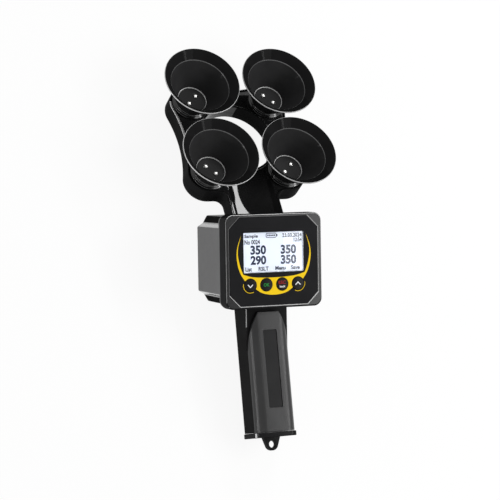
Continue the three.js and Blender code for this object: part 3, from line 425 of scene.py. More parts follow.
class Pen:
    """Draws an outline of edges, from straight runs and arcs."""

    def __init__(self, bm, x, y, z=0.0):
        self.bm = bm
        self.first = bm.verts.new((x, y, z))
        self.tip = self.first

    def line(self, x, y):
        self.tip = bmesh.ops.extrude_vert_indiv(self.bm, verts=[self.tip])["verts"][0]
        self.tip.co = (x, y, self.first.co.z)
        return self

    def arc(self, x, y, angle, steps):
        made = bmesh.ops.spin(
            self.bm,
            geom=[self.tip],
            cent=(x, y, self.first.co.z),
            axis=(0, 0, 1),
            angle=radians(angle),
            steps=steps,
            use_duplicate=False,
        )
        self.tip = next(g for g in made["geom_last"] if isinstance(g, bmesh.types.BMVert))
        return self

    def close(self):
        if (self.tip.co - self.first.co).length > 2 * MERGE:
            self.bm.edges.new((self.tip, self.first))
        return self


def filled(bm):
    """Closes the drawn outlines with a face, round any outline inside the outer one."""
    bmesh.ops.remove_doubles(bm, verts=bm.verts, dist=2 * MERGE)
    bmesh.ops.triangle_fill(bm, use_beauty=True, edges=bm.edges[:])
    bmesh.ops.dissolve_limit(bm, angle_limit=0.001, verts=bm.verts, edges=bm.edges, delimit=set())
    bmesh.ops.recalc_face_normals(bm, faces=bm.faces)
    if bm.faces and sum(face.normal.z for face in bm.faces) < 0:
        bmesh.ops.reverse_faces(bm, faces=bm.faces)
    return bm


def thicken(bm, height):
    """Runs the flat faces of a sheet down by a height and closes the solid."""
    made = bmesh.ops.extrude_face_region(bm, geom=bm.faces[:], use_keep_orig=True)
    moved = [g for g in made["geom"] if isinstance(g, bmesh.types.BMVert)]
    bmesh.ops.translate(bm, verts=moved, vec=(0, 0, -height))
    return tidy(bm)


def rounded_sheet(width, height, radius, steps=8, x=0.0, y=0.0, z=0.0):
    """A flat rectangle with its corners rounded, or cut straight with one step."""
    bm = bmesh.new()
    bmesh.ops.create_grid(bm, x_segments=1, y_segments=1, size=0.5)
    bmesh.ops.scale(bm, verts=bm.verts, vec=(width, height, 1))
    bmesh.ops.bevel(
        bm, geom=bm.verts[:], offset=radius, affect="VERTICES", segments=steps, profile=0.5, material=-1
    )
    return placed(bm, x, y, z)


def round_edges(bm, chosen, width, segments=3):
    edges = [edge for edge in bm.edges if len(edge.link_faces) == 2 and chosen(edge)]
    bmesh.ops.bevel(
        bm, geom=edges, offset=width, affect="EDGES", segments=segments, profile=0.5, material=-1,
        clamp_overlap=True
    )
    return bm


def at_level(level, least=25, axis=2):
    """Chooses sharp edges that lie at one place along an axis."""

    def chosen(edge):
        flat = all(abs(v.co[axis] - level) < 0.01 for v in edge.verts)
        return flat and edge.calc_face_angle(0) > radians(least)

    return chosen


def block(width, height, radius, top, depth, steps=8, x=0.0, y=0.0):
    """A rounded rectangle as a solid, from its top down."""
    return thicken(rounded_sheet(width, height, radius, steps, x, y, top), depth)


def rod(radius, low, high, x=0.0, y=0.0, sides=64):
    bm = bmesh.new()
    bmesh.ops.create_cone(bm, cap_ends=True, segments=sides, radius1=radius, radius2=radius, depth=high - low)
    return placed(bm, x, y, (low + high) / 2)


def turned(profile, x=0.0, y=0.0, steps=96):
    """A closed or pole-to-pole profile of radius and height, spun about the upright axis."""
    bm = bmesh.new()
    last = bm.verts.new((profile[0][0], 0, profile[0][1]))
    for radius, height in profile[1:]:
        last = bmesh.ops.extrude_vert_indiv(bm, verts=[last])["verts"][0]
        last.co = (radius, 0, height)
    bmesh.ops.spin(
        bm,
        geom=bm.verts[:] + bm.edges[:],
        cent=(0, 0, 0),
        axis=(0, 0, 1),
        angle=2 * pi,
        steps=steps,
        use_merge=True,
        use_duplicate=False,
    )
    return placed(tidy(bm), x, y, 0)


def curve_points(x, y, radius, start, end, steps):
    """Points of a rounded corner in a turned profile."""
    angles = [radians(start + (end - start) * i / steps) for i in range(steps + 1)]
    return [(x + radius * cos(a), y + radius * sin(a)) for a in angles]


def combine(bm, *others, how="DIFFERENCE"):
    """Cuts the other solids out of the first, or joins or keeps what they share."""
    base = linked("scratch", mesh_of(bm, "scratch"))
    for other in others:
        tool = linked("scratch", mesh_of(other, "scratch"))
        step = base.modifiers.new("combine", "BOOLEAN")
        step.operation = how
        step.solver = "EXACT"
        step.object = tool
        shape = final_mesh(base)
        base.modifiers.clear()
        old, base.data = base.data, shape
        bpy.data.meshes.remove(old)
        discard(tool)
    result = bmesh.new()
    result.from_mesh(base.data)
    discard(base)
    bmesh.ops.remove_doubles(result, verts=result.verts, dist=MERGE)
    bmesh.ops.dissolve_degenerate(result, edges=result.edges, dist=MERGE)
    return result


def split(bm, point, normal, clear=False):
    """Cuts the faces along a plane, and drops what lies on the normal's side if told to."""
    cut = bmesh.ops.bisect_plane(
        bm, geom=everything(bm), plane_co=point, plane_no=normal, clear_outer=clear, dist=0.0001
    )
    return [g for g in cut["geom_cut"] if isinstance(g, bmesh.types.BMEdge)]


def trim(bm, point, normal):
    """Cuts off what lies on the normal's side of a plane and closes the cut."""
    rim = split(bm, point, normal, clear=True)
    bmesh.ops.triangle_fill(bm, use_beauty=True, edges=rim)
    bmesh.ops.dissolve_limit(bm, angle_limit=0.0005, verts=bm.verts, edges=bm.edges, delimit=set())
    return tidy(bm)


def trim_at_box(bm, place, height, side):
    """Ends a head or grip shape at a level wall of the box, which lies at a height in the box's frame."""
    change = place.inverted() @ BOX
    wall = change @ Vector((0, height, 0))
    return trim(bm, wall, (change.to_3x3() @ Vector((0, side, 0))).normalized())


def run_along(bm, low, high):
    """Stands a section up and runs it along the head or the grip between two heights."""
    return placed(turned_over(thicken(bm, high - low), 90), 0, low, 0)


# Head
LOBE = 20.7
HOLE = 2 * HALF_PITCH * sqrt(0.5) - LOBE
SIDE_WAIST = 55.6
TOP_WAIST = 56.0
NECK = 26.7
NECK_END = -125
NECK_FILLET = 8
LOBE_FOOT = -HALF_PITCH - LOBE
FRONT_FACE = -40
FRONT_DEPTH = 10
FRONT_BORDER = 1.6
FRONT_STEP = 1.0
FRONT_ROUND = 0.7
BACK_FACE = -50.3
BACK_DEPTH = 7.7
BACK_BORDER = 2.4
BACK_ROUND = 1.6
SCREW_SEAT = 2.9
SCREW_FLOOR = -55.4
SCREW_INSET = 3.7


def waist(distance):
    """Radius of a waist arc that touches two lobes, and the angle where it does."""
    inset = distance - HALF_PITCH
    radius = (inset * inset + HALF_PITCH * HALF_PITCH - LOBE * LOBE) / (2 * (LOBE - inset))
    return radius, degrees(atan2(HALF_PITCH, distance + radius - HALF_PITCH))


def frame_sheet(z):
    """The ring with four lobes and its neck, as a flat sheet with the round hole."""
    side, side_angle = waist(SIDE_WAIST)
    top, top_angle = waist(TOP_WAIST)
    start = LOBE_FOOT - NECK_FILLET
    bm = bmesh.new()
    pen = Pen(bm, NECK, NECK_END, z)
    pen.line(NECK, start).arc(NECK + NECK_FILLET, start, -90, 10).line(HALF_PITCH, LOBE_FOOT)
    pen.arc(HALF_PITCH, -HALF_PITCH, 90 + side_angle, 28)
    pen.arc(SIDE_WAIST + side, 0, -2 * side_angle, 22)
    pen.arc(HALF_PITCH, HALF_PITCH, 90 + side_angle + top_angle, 28)
    pen.arc(0, TOP_WAIST + top, -2 * top_angle, 16)
    pen.arc(-HALF_PITCH, HALF_PITCH, 90 + top_angle + side_angle, 28)
    pen.arc(-SIDE_WAIST - side, 0, -2 * side_angle, 22)
    pen.arc(-HALF_PITCH, -HALF_PITCH, 90 + side_angle, 28)
    pen.line(-NECK - NECK_FILLET, LOBE_FOOT).arc(-NECK - NECK_FILLET, start, -90, 10)
    pen.line(-NECK, NECK_END).close()
    Pen(bm, HOLE, 0, z).arc(0, 0, 360, 112)
    return filled(bm)


TROUGH_HALF = 25.4
TROUGH_SIDE = ((-25.1, -40), (-24.5, -40.6), (-19.4, -42.02))
TROUGH_RIDGE = -41.01
TROUGH_START = -48
TROUGH_END = -130
TROUGH_FALL = 2.86


def trough():
    """What is scooped out of the neck's front: a slope at each side and a floor with a low ridge."""
    bm = bmesh.new()
    pen = Pen(bm, -TROUGH_HALF, FRONT_FACE + 1)
    far_side = ((-x, z) for x, z in reversed(TROUGH_SIDE))
    for x, z in (*TROUGH_SIDE, (0, TROUGH_RIDGE), *far_side, (TROUGH_HALF, FRONT_FACE + 1)):
        pen.line(x, z)
    pen.close()
    run_along(filled(bm), TROUGH_END, TROUGH_START)
    floor = [v for v in bm.verts if v.co.y < TROUGH_END + 1 and v.co.z < -40.8]
    bmesh.ops.translate(bm, verts=floor, vec=(0, 0, -TROUGH_FALL))
    return bm


def frame_front():
    bm = thicken(frame_sheet(FRONT_FACE), FRONT_DEPTH)
    top = [face for face in bm.faces if face.normal.z > 0.9]
    even = {"use_even_offset": True, "use_boundary": True}
    made = bmesh.ops.inset_region(bm, faces=top, thickness=FRONT_BORDER, **even)
    inner = [face for face in bm.faces if face.normal.z > 0.9 and face not in set(made["faces"])]
    bmesh.ops.inset_region(bm, faces=inner, thickness=FRONT_STEP, depth=-FRONT_STEP, **even)
    round_edges(tidy(bm), at_level(FRONT_FACE), FRONT_ROUND, 4)
    return trim_at_box(combine(bm, trough()), HEAD, BOX_TOP, -1)


def frame_back():
    bm = thicken(frame_sheet(BACK_FACE), BACK_DEPTH)
    low = [face for face in bm.faces if face.normal.z < -0.9]
    bmesh.ops.inset_region(bm, faces=low, thickness=BACK_BORDER, use_even_offset=True, use_boundary=True)
    round_edges(tidy(bm), at_level(BACK_FACE - BACK_DEPTH), BACK_ROUND, 4)
    along, across = (HOLE + TOP_WAIST) / 2, SIDE_WAIST - SCREW_INSET
    places = ((0, along), (0, -along), (across, 0), (-across, 0))
    seats = [rod(SCREW_SEAT, BACK_FACE - 9.7, SCREW_FLOOR, x, y, 32) for x, y in places]
    return trim_at_box(combine(bm, *seats), HEAD, BOX_TOP, -1)


def make_head():
    border_floor = FRONT_FACE - 0.95

    def top(at, normal):
        return normal.z > 0.99

    def waist_painted_highlight(at, normal):
        return -24 < at.y < 44 and at.x < -45 and at.z > border_floor and normal.z > 0.3

    def hole_painted_highlight(at, normal):
        return 38.3 < hypot(at.x, at.y) < 39.4 and at.z > border_floor and 0.3 < normal.z < 0.99

    def bore(at, normal):
        return abs(hypot(at.x, at.y) - HOLE) < 0.1 and abs(normal.z) < 0.2 and at.x < 8

    # Upward faces get the lighter, glossier black. The left waist's border and the slope round the hole get
    # painted highlights, and the bore's left part alone gets the glossy painted reflection.
    look = {"nodes": ["head_frame_front"], "slot": "head_shell"}
    look["bands"] = [(TOP_GLOSS_AND_PAINTED_LIGHT, top), (STRONG_PAINTED_HIGHLIGHT, waist_painted_highlight), (FINE_PAINTED_HIGHLIGHT, hole_painted_highlight), (BORE_PAINTED_REFLECTION, bore)]
    finish_piece("ring_front", frame_front(), HEAD, GLOSS_BLACK, **look)
    look = {"nodes": ["head_frame_back"], "slot": "head_shell", "bands": [(BORE_PAINTED_REFLECTION, bore)]}
    finish_piece("ring_back", frame_back(), HEAD, GLOSS_BLACK, **look)


# Cups, as radius and height
CUP_END = -50.0
SPIGOT = 13.2
SPIGOT_BORE = 10.6
FOOT_END = -39.5
FOOT_RIBS = (18.3, 17.3, 16.6)
RIB_STEP = 1.9
RIB_ROUND = 0.5
OUTER_WALL = [(16.35, -34.35), (17.2, -33.2), (32.7, -6.6), (36.9, -2.2)]
FLARE = [(36.4, -0.75), (29.7, -7.15)]
CREASE = [(29.4, -7.5), (29.2, -7.9)]
CONE_AND_SEAT = [(14.55, -32.25), (14.05, -33.1), (14.0, -35.3), (SPIGOT_BORE, -35.3)]
FLOOR_TOP = -33.0
FLOOR_BASE = -35.0
FLOOR_RADIUS = 13.7
FLOOR_ROUND = 0.3
ELECTRODE_REACH = 6
DOME = 2.4
DOME_FLATTENING = 0.82
STEM = 1.1


def cup_profile():
    """The cup's wall: spigot, ribbed foot, cone, lip and the inside down to the floor's seat."""
    profile = [(SPIGOT_BORE, CUP_END), (SPIGOT, CUP_END), (SPIGOT, FOOT_END)]
    for i, crest in enumerate(FOOT_RIBS):
        low = FOOT_END + RIB_STEP * i
        if i:
            profile.append((crest - 0.9, low + 0.12))
        profile += curve_points(crest - RIB_ROUND, low + 0.5, RIB_ROUND, -90, 0, 5)
        profile += curve_points(crest - RIB_ROUND, low + 0.7, RIB_ROUND, 0, 90, 5)
    profile += OUTER_WALL
    profile += curve_points(37.5, -0.95, 0.5, -40, 0, 3)
    profile += curve_points(37.55, -0.45, 0.45, 0, 135, 6)
    return profile + FLARE + CREASE + CONE_AND_SEAT + [(SPIGOT_BORE, CUP_END)]


def floor_profile():
    edge = curve_points(FLOOR_RADIUS - FLOOR_ROUND, FLOOR_TOP - FLOOR_ROUND, FLOOR_ROUND, 0, 90, 4)
    return [(0, FLOOR_BASE), (FLOOR_RADIUS, FLOOR_BASE)] + edge + [(0, FLOOR_TOP)]


def electrode_profile():
    dome = curve_points(0, 0.05, DOME, 6, 84, 9)
    stem = [(0, -4.0), (STEM, -4.0), (STEM, 0.05), (DOME - 0.02, 0.05)]
    return stem + [(r, h * DOME_FLATTENING + 0.05) for r, h in dome] + [(0, 2.02)]


# A cup's rim, seat, inside, foot and crease: finish, radii, lowest and highest place, least upward normal.
# The rim, seat and crease are painted highlights, and the inside is painted light that lifts the shade in the
# cone.
CUP_BANDS = (
    (BRIGHT_PAINTED_HIGHLIGHT, 37.5, 39, -1, 1, -2),
    (SEAT_PAINTED_HIGHLIGHT, 14.0, 14.5, -33.1, -32, -2),
    (CONE_PAINTED_LIGHT, 14, 29.2, -32, -7.5, 0),
    (FOOT_BLACK, 15.5, 19, -41, -34.3, -2),
    (CREASE_PAINTED_HIGHLIGHT, 29.15, 29.75, -8, -7, -2),
)


def cup_bands(x, y):
    def ring(least_radius, most_radius, low, high, upward):
        def chosen(at, normal):
            radius = hypot(at.x - x, at.y - y)
            return least_radius < radius < most_radius and low < at.z < high and normal.z > upward

        return chosen

    return [(finish, ring(*limits)) for finish, *limits in CUP_BANDS]


def make_cups():
    for name, (x, y) in CUPS.items():
        cup = turned(cup_profile(), x, y, 112)
        look = {"nodes": [f"cup_{name}"], "slot": "cup_shell", "sharp": 40, "bands": cup_bands(x, y)}
        finish_piece(f"{name}_cup", cup, HEAD, CUP_BLACK, **look)
        floor = turned(floor_profile(), x, y, 72)
        finish_piece(f"{name}_floor", floor, HEAD, FLOOR_BLACK, nodes=[f"cup_floor_{name}"], slot="cup_floor")
        side = ELECTRODE_REACH * sqrt(0.5)
        sign = 1 if x * y > 0 else -1
        for i, step in enumerate((1, -1), start=1):
            dome = turned(electrode_profile(), x + step * side, y - step * sign * side, 32)
            look = {"nodes": [f"electrode_{name}_{i}"], "slot": "electrode_metal"}
            finish_piece(f"{name}_dome_{i}", placed(dome, 0, 0, FLOOR_TOP), HEAD, CHROME, **look)


# Box. A rounded or cut rectangle is given by its width, height and corner
BEZEL = (99.4, 89.3, 8)
BEZEL_DEPTH = 14
BEZEL_WALL = 2.4
BEZEL_FRONT = 2.6
BEZEL_WINDOW = (62.2, 38.4, 0.9)
FIELD = (91.4, 84, 11)
FIELD_DEPTH = 1
LIP_WIDTH = 0.6
LIP_DEPTH = 0.65
LIP_CORNER = 11.25
KEY_HOLE = 6.45
OVERLAY_WINDOW = (62.2, 38, 0.9)
PANE_SIZE = (61.6, 37.4, 0.8)
MODULE_SIZE = (70, 45.8, 0.8)
SCREEN_FIELD = (61, 36.8, 0.5)
HOUSING_SIDE = 47.8
HOUSING_TOP = -17.0
HOUSING_DEPTH = 59
HOUSING_DRAFT = 0.988
FLANGE_TOP = -15.4
FLANGE_DEPTH = 2.5
FLANGE_ROUND = 0.4


def shrunk(size, margin):
    """A rectangle's size with a margin taken off all round."""
    width, height, corner = size
    return width - 2 * margin, height - 2 * margin, corner - margin


def key_holes(radius, low, high):
    return [rod(radius, low, high, x, KEY_ROW, 64) for x in KEYS.values()]


def field_lip():
    """The sloped edge round the cut-cornered field, narrower at its lower end."""
    width, height, _ = FIELD
    outer_width, outer_height, _ = shrunk(FIELD, -LIP_WIDTH)
    lip = thicken(rounded_sheet(outer_width, outer_height, LIP_CORNER, 1), LIP_DEPTH)
    low = [v for v in lip.verts if v.co.z < -LIP_DEPTH / 2]
    bmesh.ops.scale(lip, verts=low, vec=(width / outer_width, height / outer_height, 1))
    return placed(lip, 0, 0, MERGE)


def bezel_bands():
    """The front's flat face, the slope round its field and its rounded rim, with painted highlights: grey
    bands on the slope and rim, lighter on the lower and right slopes and on the top rim.
    """
    slope_x = FIELD[0] / 2 + LIP_WIDTH + 0.1
    slope_y = FIELD[1] / 2 + LIP_WIDTH + 0.1

    def slope(at, normal):
        inside = abs(at.x) < slope_x and abs(at.y) < slope_y
        return inside and -0.66 < at.z < -0.02 and 0.2 < normal.z < 0.95

    def low_slope(at, normal):
        return slope(at, normal) and normal.y > 0.15

    def right_slope(at, normal):
        return slope(at, normal) and normal.x < -0.3

    def rim(at, normal):
        return -0.26 < at.z < -0.01 and normal.z < 0.98 and normal.y > -0.1

    def top_rim(at, normal):
        return rim(at, normal) and normal.y > 0.25

    def flat(at, normal):
        return normal.z > 0.99 and at.z > -0.1

    bands = [(BEZEL_SHEEN, flat), (FINE_PAINTED_HIGHLIGHT, slope), (FINE_PAINTED_HIGHLIGHT, rim), (STRONG_PAINTED_HIGHLIGHT, top_rim)]
    return bands + [(BRIGHT_PAINTED_HIGHLIGHT, right_slope), (STRONG_PAINTED_HIGHLIGHT, low_slope)]


def make_bezel():
    bm = block(*BEZEL, 0, BEZEL_DEPTH, 10)
    round_edges(bm, at_level(0), 1.4, 5)
    round_edges(bm, at_level(-BEZEL_DEPTH), 0.5, 2)
    field = block(*FIELD, FIELD_DEPTH, 2 * FIELD_DEPTH, 1)
    window = block(*BEZEL_WINDOW, 2, 6, 4, y=SCREEN_ROW)
    shell = combine(bm, field, field_lip(), window, *key_holes(KEY_HOLE, -4, 1))
    shell = combine(shell, block(*shrunk(BEZEL, BEZEL_WALL), -BEZEL_FRONT, BEZEL_DEPTH - 1, 6))
    look = {"nodes": ["front_bezel"], "slot": "box_shell", "bands": bezel_bands()}
    finish_piece("box_front", shell, BOX, BEZEL_BLACK, **look)


def make_overlay():
    width, height, _ = shrunk(FIELD, 0.3)
    sheet = block(width, height, FIELD[2] - 0.2, -0.2, 0.5, 1)
    window = block(*OVERLAY_WINDOW, 1, 3, 4, y=SCREEN_ROW)
    sheet = combine(sheet, window, *key_holes(KEY_HOLE, -2, 1))
    finish_piece("face_overlay", sheet, BOX, OVERLAY, nodes=["front_overlay"], slot="overlay_film")


def cross_sheet(z):
    """The tub's outline: round the screw at each corner, a slanted ledge runs up into a slanted wall."""
    x, y = HOUSING_SIDE, BOX_TOP
    bm = bmesh.new()
    pen = Pen(bm, x, 0, z)
    pen.line(x, y - 12.25).arc(x - 2.5, y - 12.25, 60, 5)
    pen.line(x - 5.2, y - 7.8).arc(x - 3.7, y - 5.2, -30, 4)
    pen.line(x - 9.445, y - 1.25).arc(x - 11.61, y - 2.5, 60, 5).line(0, y)
    for axis in "XY":
        bmesh.ops.mirror(
            bm, geom=bm.verts[:] + bm.edges[:], matrix=Matrix.Identity(4), merge_dist=0.001, axis=axis
        )
    return filled(bm)


def make_housing():
    floor = HOUSING_TOP - HOUSING_DEPTH
    tub = thicken(cross_sheet(HOUSING_TOP), HOUSING_DEPTH)
    low = [v for v in tub.verts if v.co.z < floor + 1]
    bmesh.ops.scale(tub, verts=low, vec=(HOUSING_DRAFT, HOUSING_DRAFT, 1))
    round_edges(tub, at_level(floor), 2.0, 4)
    flange = block(*shrunk(BEZEL, 0.8), FLANGE_TOP, FLANGE_DEPTH, 8)
    for level in (FLANGE_TOP, FLANGE_TOP - FLANGE_DEPTH):
        round_edges(flange, at_level(level), FLANGE_ROUND, 2)
    bm = combine(flange, tub, how="UNION")

    def strip(low, high, axis, least):
        def chosen(at, normal):
            side = -74 < at.z < -17.5 and abs(normal.z) < 0.2
            return side and low < abs(at.y) < high and abs(normal[axis]) > least

        return chosen

    # Painted shade on the notch walls, painted highlights on the ledge and the hollow strips.
    wall, ledge, hollow = strip(35.4, 50, 0, 0.55), strip(29.5, 34.1, 1, 0.5), strip(34.1, 35.4, 1, 0.5)
    bands = [(NOTCH_PAINTED_SHADE, wall), (LEDGE_GLOSS_AND_PAINTED_HIGHLIGHT, ledge), (SOFT_PAINTED_HIGHLIGHT, hollow)]
    finish_piece("box_back", bm, BOX, SATIN_GREY, nodes=["rear_housing"], slot="box_shell", bands=bands)


def make_display():
    pane = block(*PANE_SIZE, -0.3, 1.4, 4, y=SCREEN_ROW)
    finish_piece("screen_window", pane, BOX, PANE, nodes=["display_window"], slot="window_pane")
    body = block(*MODULE_SIZE, -2.9, 5.6, 3, y=SCREEN_ROW)
    body = combine(body, block(*SCREEN_FIELD, -2.0, 2, 3, y=SCREEN_ROW), how="UNION")
    finish_piece("screen_module", body, BOX, SCREEN, nodes=["lcd_module"], slot="display_body")


# Marks, words and printed shapes
def faces_of_curve(curve):
    """The filled faces of a flat curve, which uses the curve up."""
    maker = linked(curve.name, curve)
    shape = final_mesh(maker)
    discard(maker)
    bm = bmesh.new()
    bm.from_mesh(shape)
    bpy.data.meshes.remove(shape)
    bmesh.ops.remove_doubles(bm, verts=bm.verts, dist=0.0001)
    return bm


def chevron(direction):
    """An arrow stroke with mitred ends, pointing up or down."""
    bm = bmesh.new()
    pen = Pen(bm, -2.85, -1.15 * direction)
    for x, y in ((0, 1.7), (2.85, -1.15), (2.25, -1.75), (0, 0.5), (-2.25, -1.75)):
        pen.line(x, y * direction)
    pen.close()
    return filled(bm)


def lettering(words, left, right, low, high, bold=0.0):
    """A word as a flat sheet of faces that fills a box."""
    curve = bpy.data.curves.new("words", "FONT")
    curve.body = words
    curve.size = high - low
    curve.offset = bold
    curve.resolution_u = 3
    bm = faces_of_curve(curve)
    across = [v.co.x for v in bm.verts]
    upward = [v.co.y for v in bm.verts]
    placed(bm, -min(across), -min(upward), 0)
    stretch = ((right - left) / (max(across) - min(across)), (high - low) / (max(upward) - min(upward)), 1)
    bmesh.ops.scale(bm, verts=bm.verts, vec=stretch)
    return placed(bm, left, low, 0)


def smooth_outline(points):
    """A flat face bounded by a smooth curve through a few points, some of them marked as corners."""
    curve = bpy.data.curves.new("outline", "CURVE")
    curve.dimensions = "2D"
    curve.fill_mode = "BOTH"
    curve.resolution_u = 10
    line = curve.splines.new("BEZIER")
    line.bezier_points.add(len(points) - 1)
    for knot, (x, y, *corner) in zip(line.bezier_points, points):
        knot.co = (x, y, 0)
        kind = "VECTOR" if corner else "AUTO"
        knot.handle_left_type = kind
        knot.handle_right_type = kind
    line.use_cyclic_u = True
    return faces_of_curve(curve)


def raised(bm, thickness):
    """A flat sheet of faces made a thin plate, its front at zero."""
    bmesh.ops.recalc_face_normals(bm, faces=bm.faces)
    if sum(face.normal.z * face.calc_area() for face in bm.faces) < 0:
        bmesh.ops.reverse_faces(bm, faces=bm.faces)
    return thicken(bm, thickness)


def pooled(parts):
    """Several loose shapes as one."""
    whole = parts[0]
    for part in parts[1:]:
        mesh = mesh_of(part, "part")
        whole.from_mesh(mesh)
        bpy.data.meshes.remove(mesh)
    return whole


def finish_mark(name, bm, ink, body="tester", slot="overlay_film"):
    finish_piece(name, bm, BOX, ink, body, slot=slot, even=False)


KEY_STEM = [(0, -5.9), (2.4, -5.9), (2.4, -3.9), (7.2, -3.9), (7.2, -2.9), (6.15, -2.9), (6.15, -0.1)]
KEY_DISH = [(3.0, 0.55), (0, 0.58)]
MARK_TOP = 0.62
MARK_THICKNESS = 0.16
CHEVRONS = (("down", -1, -0.8), ("up", 1, 0.2))
CHEVRON_SHIFT = -0.3
KEY_WORDS = (
    ("ok_mark", "ok", "OK", (-3.0, 2.8, -1.7, 1.5), 0.02, GREEN_INK),
    ("esc_mark", "esc", "ESC", (-3.9, 3.3, 0.1, 3.1), 0.0, RED_INK),
    ("back_mark", "esc", "back", (-2.9, 2.9, -3.2, -1.2), 0.04, WHITE_INK),
)


def make_keys():
    for name, x in KEYS.items():
        profile = KEY_STEM + curve_points(5.55, -0.1, 0.6, 0, 90, 5) + KEY_DISH
        cap = turned(profile, x, KEY_ROW, 64)
        finish_piece(f"{name}_button", cap, BOX, KEY_BLACK, f"{name}_key", [f"key_{name}"], "key_plastic")
    for name, direction, shift in CHEVRONS:
        mark = raised(chevron(direction), MARK_THICKNESS)
        placed(mark, KEYS[name] + CHEVRON_SHIFT, KEY_ROW + shift, MARK_TOP)
        finish_mark(f"{name}_mark", mark, WHITE_INK, f"{name}_key", "key_plastic")
    for name, key, word, room, bold, ink in KEY_WORDS:
        mark = raised(lettering(word, *room, bold), MARK_THICKNESS)
        placed(mark, KEYS[key], KEY_ROW, MARK_TOP)
        finish_mark(name, mark, ink, f"{key}_key", "key_plastic")


# The left half of the crescent, each point with a word where it is a corner
HORN = [(-33.3, 24.6, "tip"), (-35.1, 20.5), (-37.1, 14.8), (-38.2, 7.2), (-37.2, -3.0), (-34.3, -11.4)]
HORN_FOOT = [(-30.2, -17.9, "corner"), (-24.6, -20.5, "corner"), (-19.3, -25.9, "corner")]
CRESCENT_LOW = [(-13.0, -29.8), (-6.0, -31.6), (0, -32.0), (6.0, -31.6), (13.0, -29.8)]
CRESCENT_TOP = [(23.5, -14.1), (12.7, -15.3), (0, -15.7), (-12.7, -15.4), (-23.5, -14.4)]
HORN_INSIDE = [
    (-31.6, -12.0, "corner"), (-34.0, -6.4), (-36.2, 1.6), (-37.0, 8.0), (-36.3, 14.8), (-34.8, 20.0)
]
INK_THICKNESS = 0.12
ARC_INSIDE = 6.95
ARC_OUTSIDE = 7.45
ARC_SWEEP = 128
ARC_STARTS = (("left", "down", 168, -1), ("right", "up", 12, 1))


def mirrored(points):
    return [(-x, y, *kind) for x, y, *kind in reversed(points)]


def key_arc(x, start, turning):
    """A thin arc beside a key, from a start angle, running one way or the other."""
    bm = bmesh.new()
    sweep = -turning * ARC_SWEEP
    start, end = radians(start), radians(start + sweep)
    pen = Pen(bm, x + ARC_OUTSIDE * cos(start), KEY_ROW + ARC_OUTSIDE * sin(start))
    pen.arc(x, KEY_ROW, sweep, 40)
    pen.line(x + ARC_INSIDE * cos(end), KEY_ROW + ARC_INSIDE * sin(end)).arc(x, KEY_ROW, -sweep, 40).close()
    return filled(bm)


def make_yellow():
    """The crescent under the screen with its two horns, and a thin arc beside each outer key."""
    outline = HORN + HORN_FOOT + CRESCENT_LOW + mirrored(HORN_FOOT) + mirrored(HORN)
    outline += mirrored(HORN_INSIDE) + CRESCENT_TOP + HORN_INSIDE
    sheet = placed(raised(smooth_outline(outline), INK_THICKNESS), 0, 0, -INK_THICKNESS)
    rings = [rod(6.6, -2, 2, x, KEY_ROW, 64) for x in (KEYS["down"], KEYS["up"])]
    rings += key_holes(KEY_HOLE + 0.01, -2, 2)[1:3]
    sheet = combine(sheet, *rings)
    finish_mark("yellow_crescent", sheet, YELLOW)
    for side, key, start, turning in ARC_STARTS:
        arc = placed(raised(key_arc(KEYS[key], start, turning), INK_THICKNESS), 0, 0, -INK_THICKNESS)
        finish_mark(f"key_arc_{side}", arc, YELLOW)


# What the screen shows: each word with the left, right, lower and upper edge of its room
READINGS = (
    ("350", -23.4, -7.4, 6.3, 15.0), ("290", -23.4, -7.4, -3.4, 5.3),
    ("350", 7.8, 23.8, 6.0, 14.7), ("350", 7.8, 23.8, -3.6, 5.1),
)
SHORT_WORDS = (
    ("Sample", -29.4, -15.6, 21.4, 25.5), ("No 0024", -29.4, -13.6, 16.0, 20.4),
    ("23.03.2024", 9.6, 29.8, 21.7, 25.6), ("12:54", 21.4, 29.8, 17.2, 21.0),
    ("List", -28.8, -22.2, -9.3, -5.3), ("RSLT", -15.4, -5.0, -9.1, -5.2),
    ("Menu", 1.9, 12.8, -8.9, -5.2), ("Save", 18.1, 27.4, -8.9, -5.1),
)
READING_BOLD = 0.34
WORD_BOLD = 0.13
PRINT_TOP = -1.93
PRINT_THICKNESS = 0.05
BATTERY_ROW = 24.0


def on_screen(sheet):
    return placed(raised(sheet, PRINT_THICKNESS), 0, 0, PRINT_TOP)


def battery_sign():
    """The battery's outline, its tip and five bars."""
    outer = raised(rounded_sheet(11.0, 4.6, 1.4, 3, -1.9, BATTERY_ROW), PRINT_THICKNESS)
    outer = combine(outer, block(9.7, 3.3, 0.8, 1, 3, 2, -1.9, BATTERY_ROW))
    tip = on_screen(rounded_sheet(0.9, 2.0, 0.2, 2, 4.1, BATTERY_ROW))
    bars = [on_screen(rounded_sheet(1.35, 1.5, 0.15, 2, -5.3 + 1.7 * i, BATTERY_ROW)) for i in range(5)]
    return [placed(outer, 0, 0, PRINT_TOP), tip, *bars]


def make_readings():
    """Four readings, the date and time, a battery sign and the short words."""
    bold = [on_screen(lettering(*reading, READING_BOLD)) for reading in READINGS]
    finish_mark("screen_readings", pooled(bold), NAVY, slot="display_body")
    thin = [on_screen(lettering(*word, WORD_BOLD)) for word in SHORT_WORDS] + battery_sign()
    finish_mark("screen_words", pooled(thin), NAVY_THIN, slot="display_body")


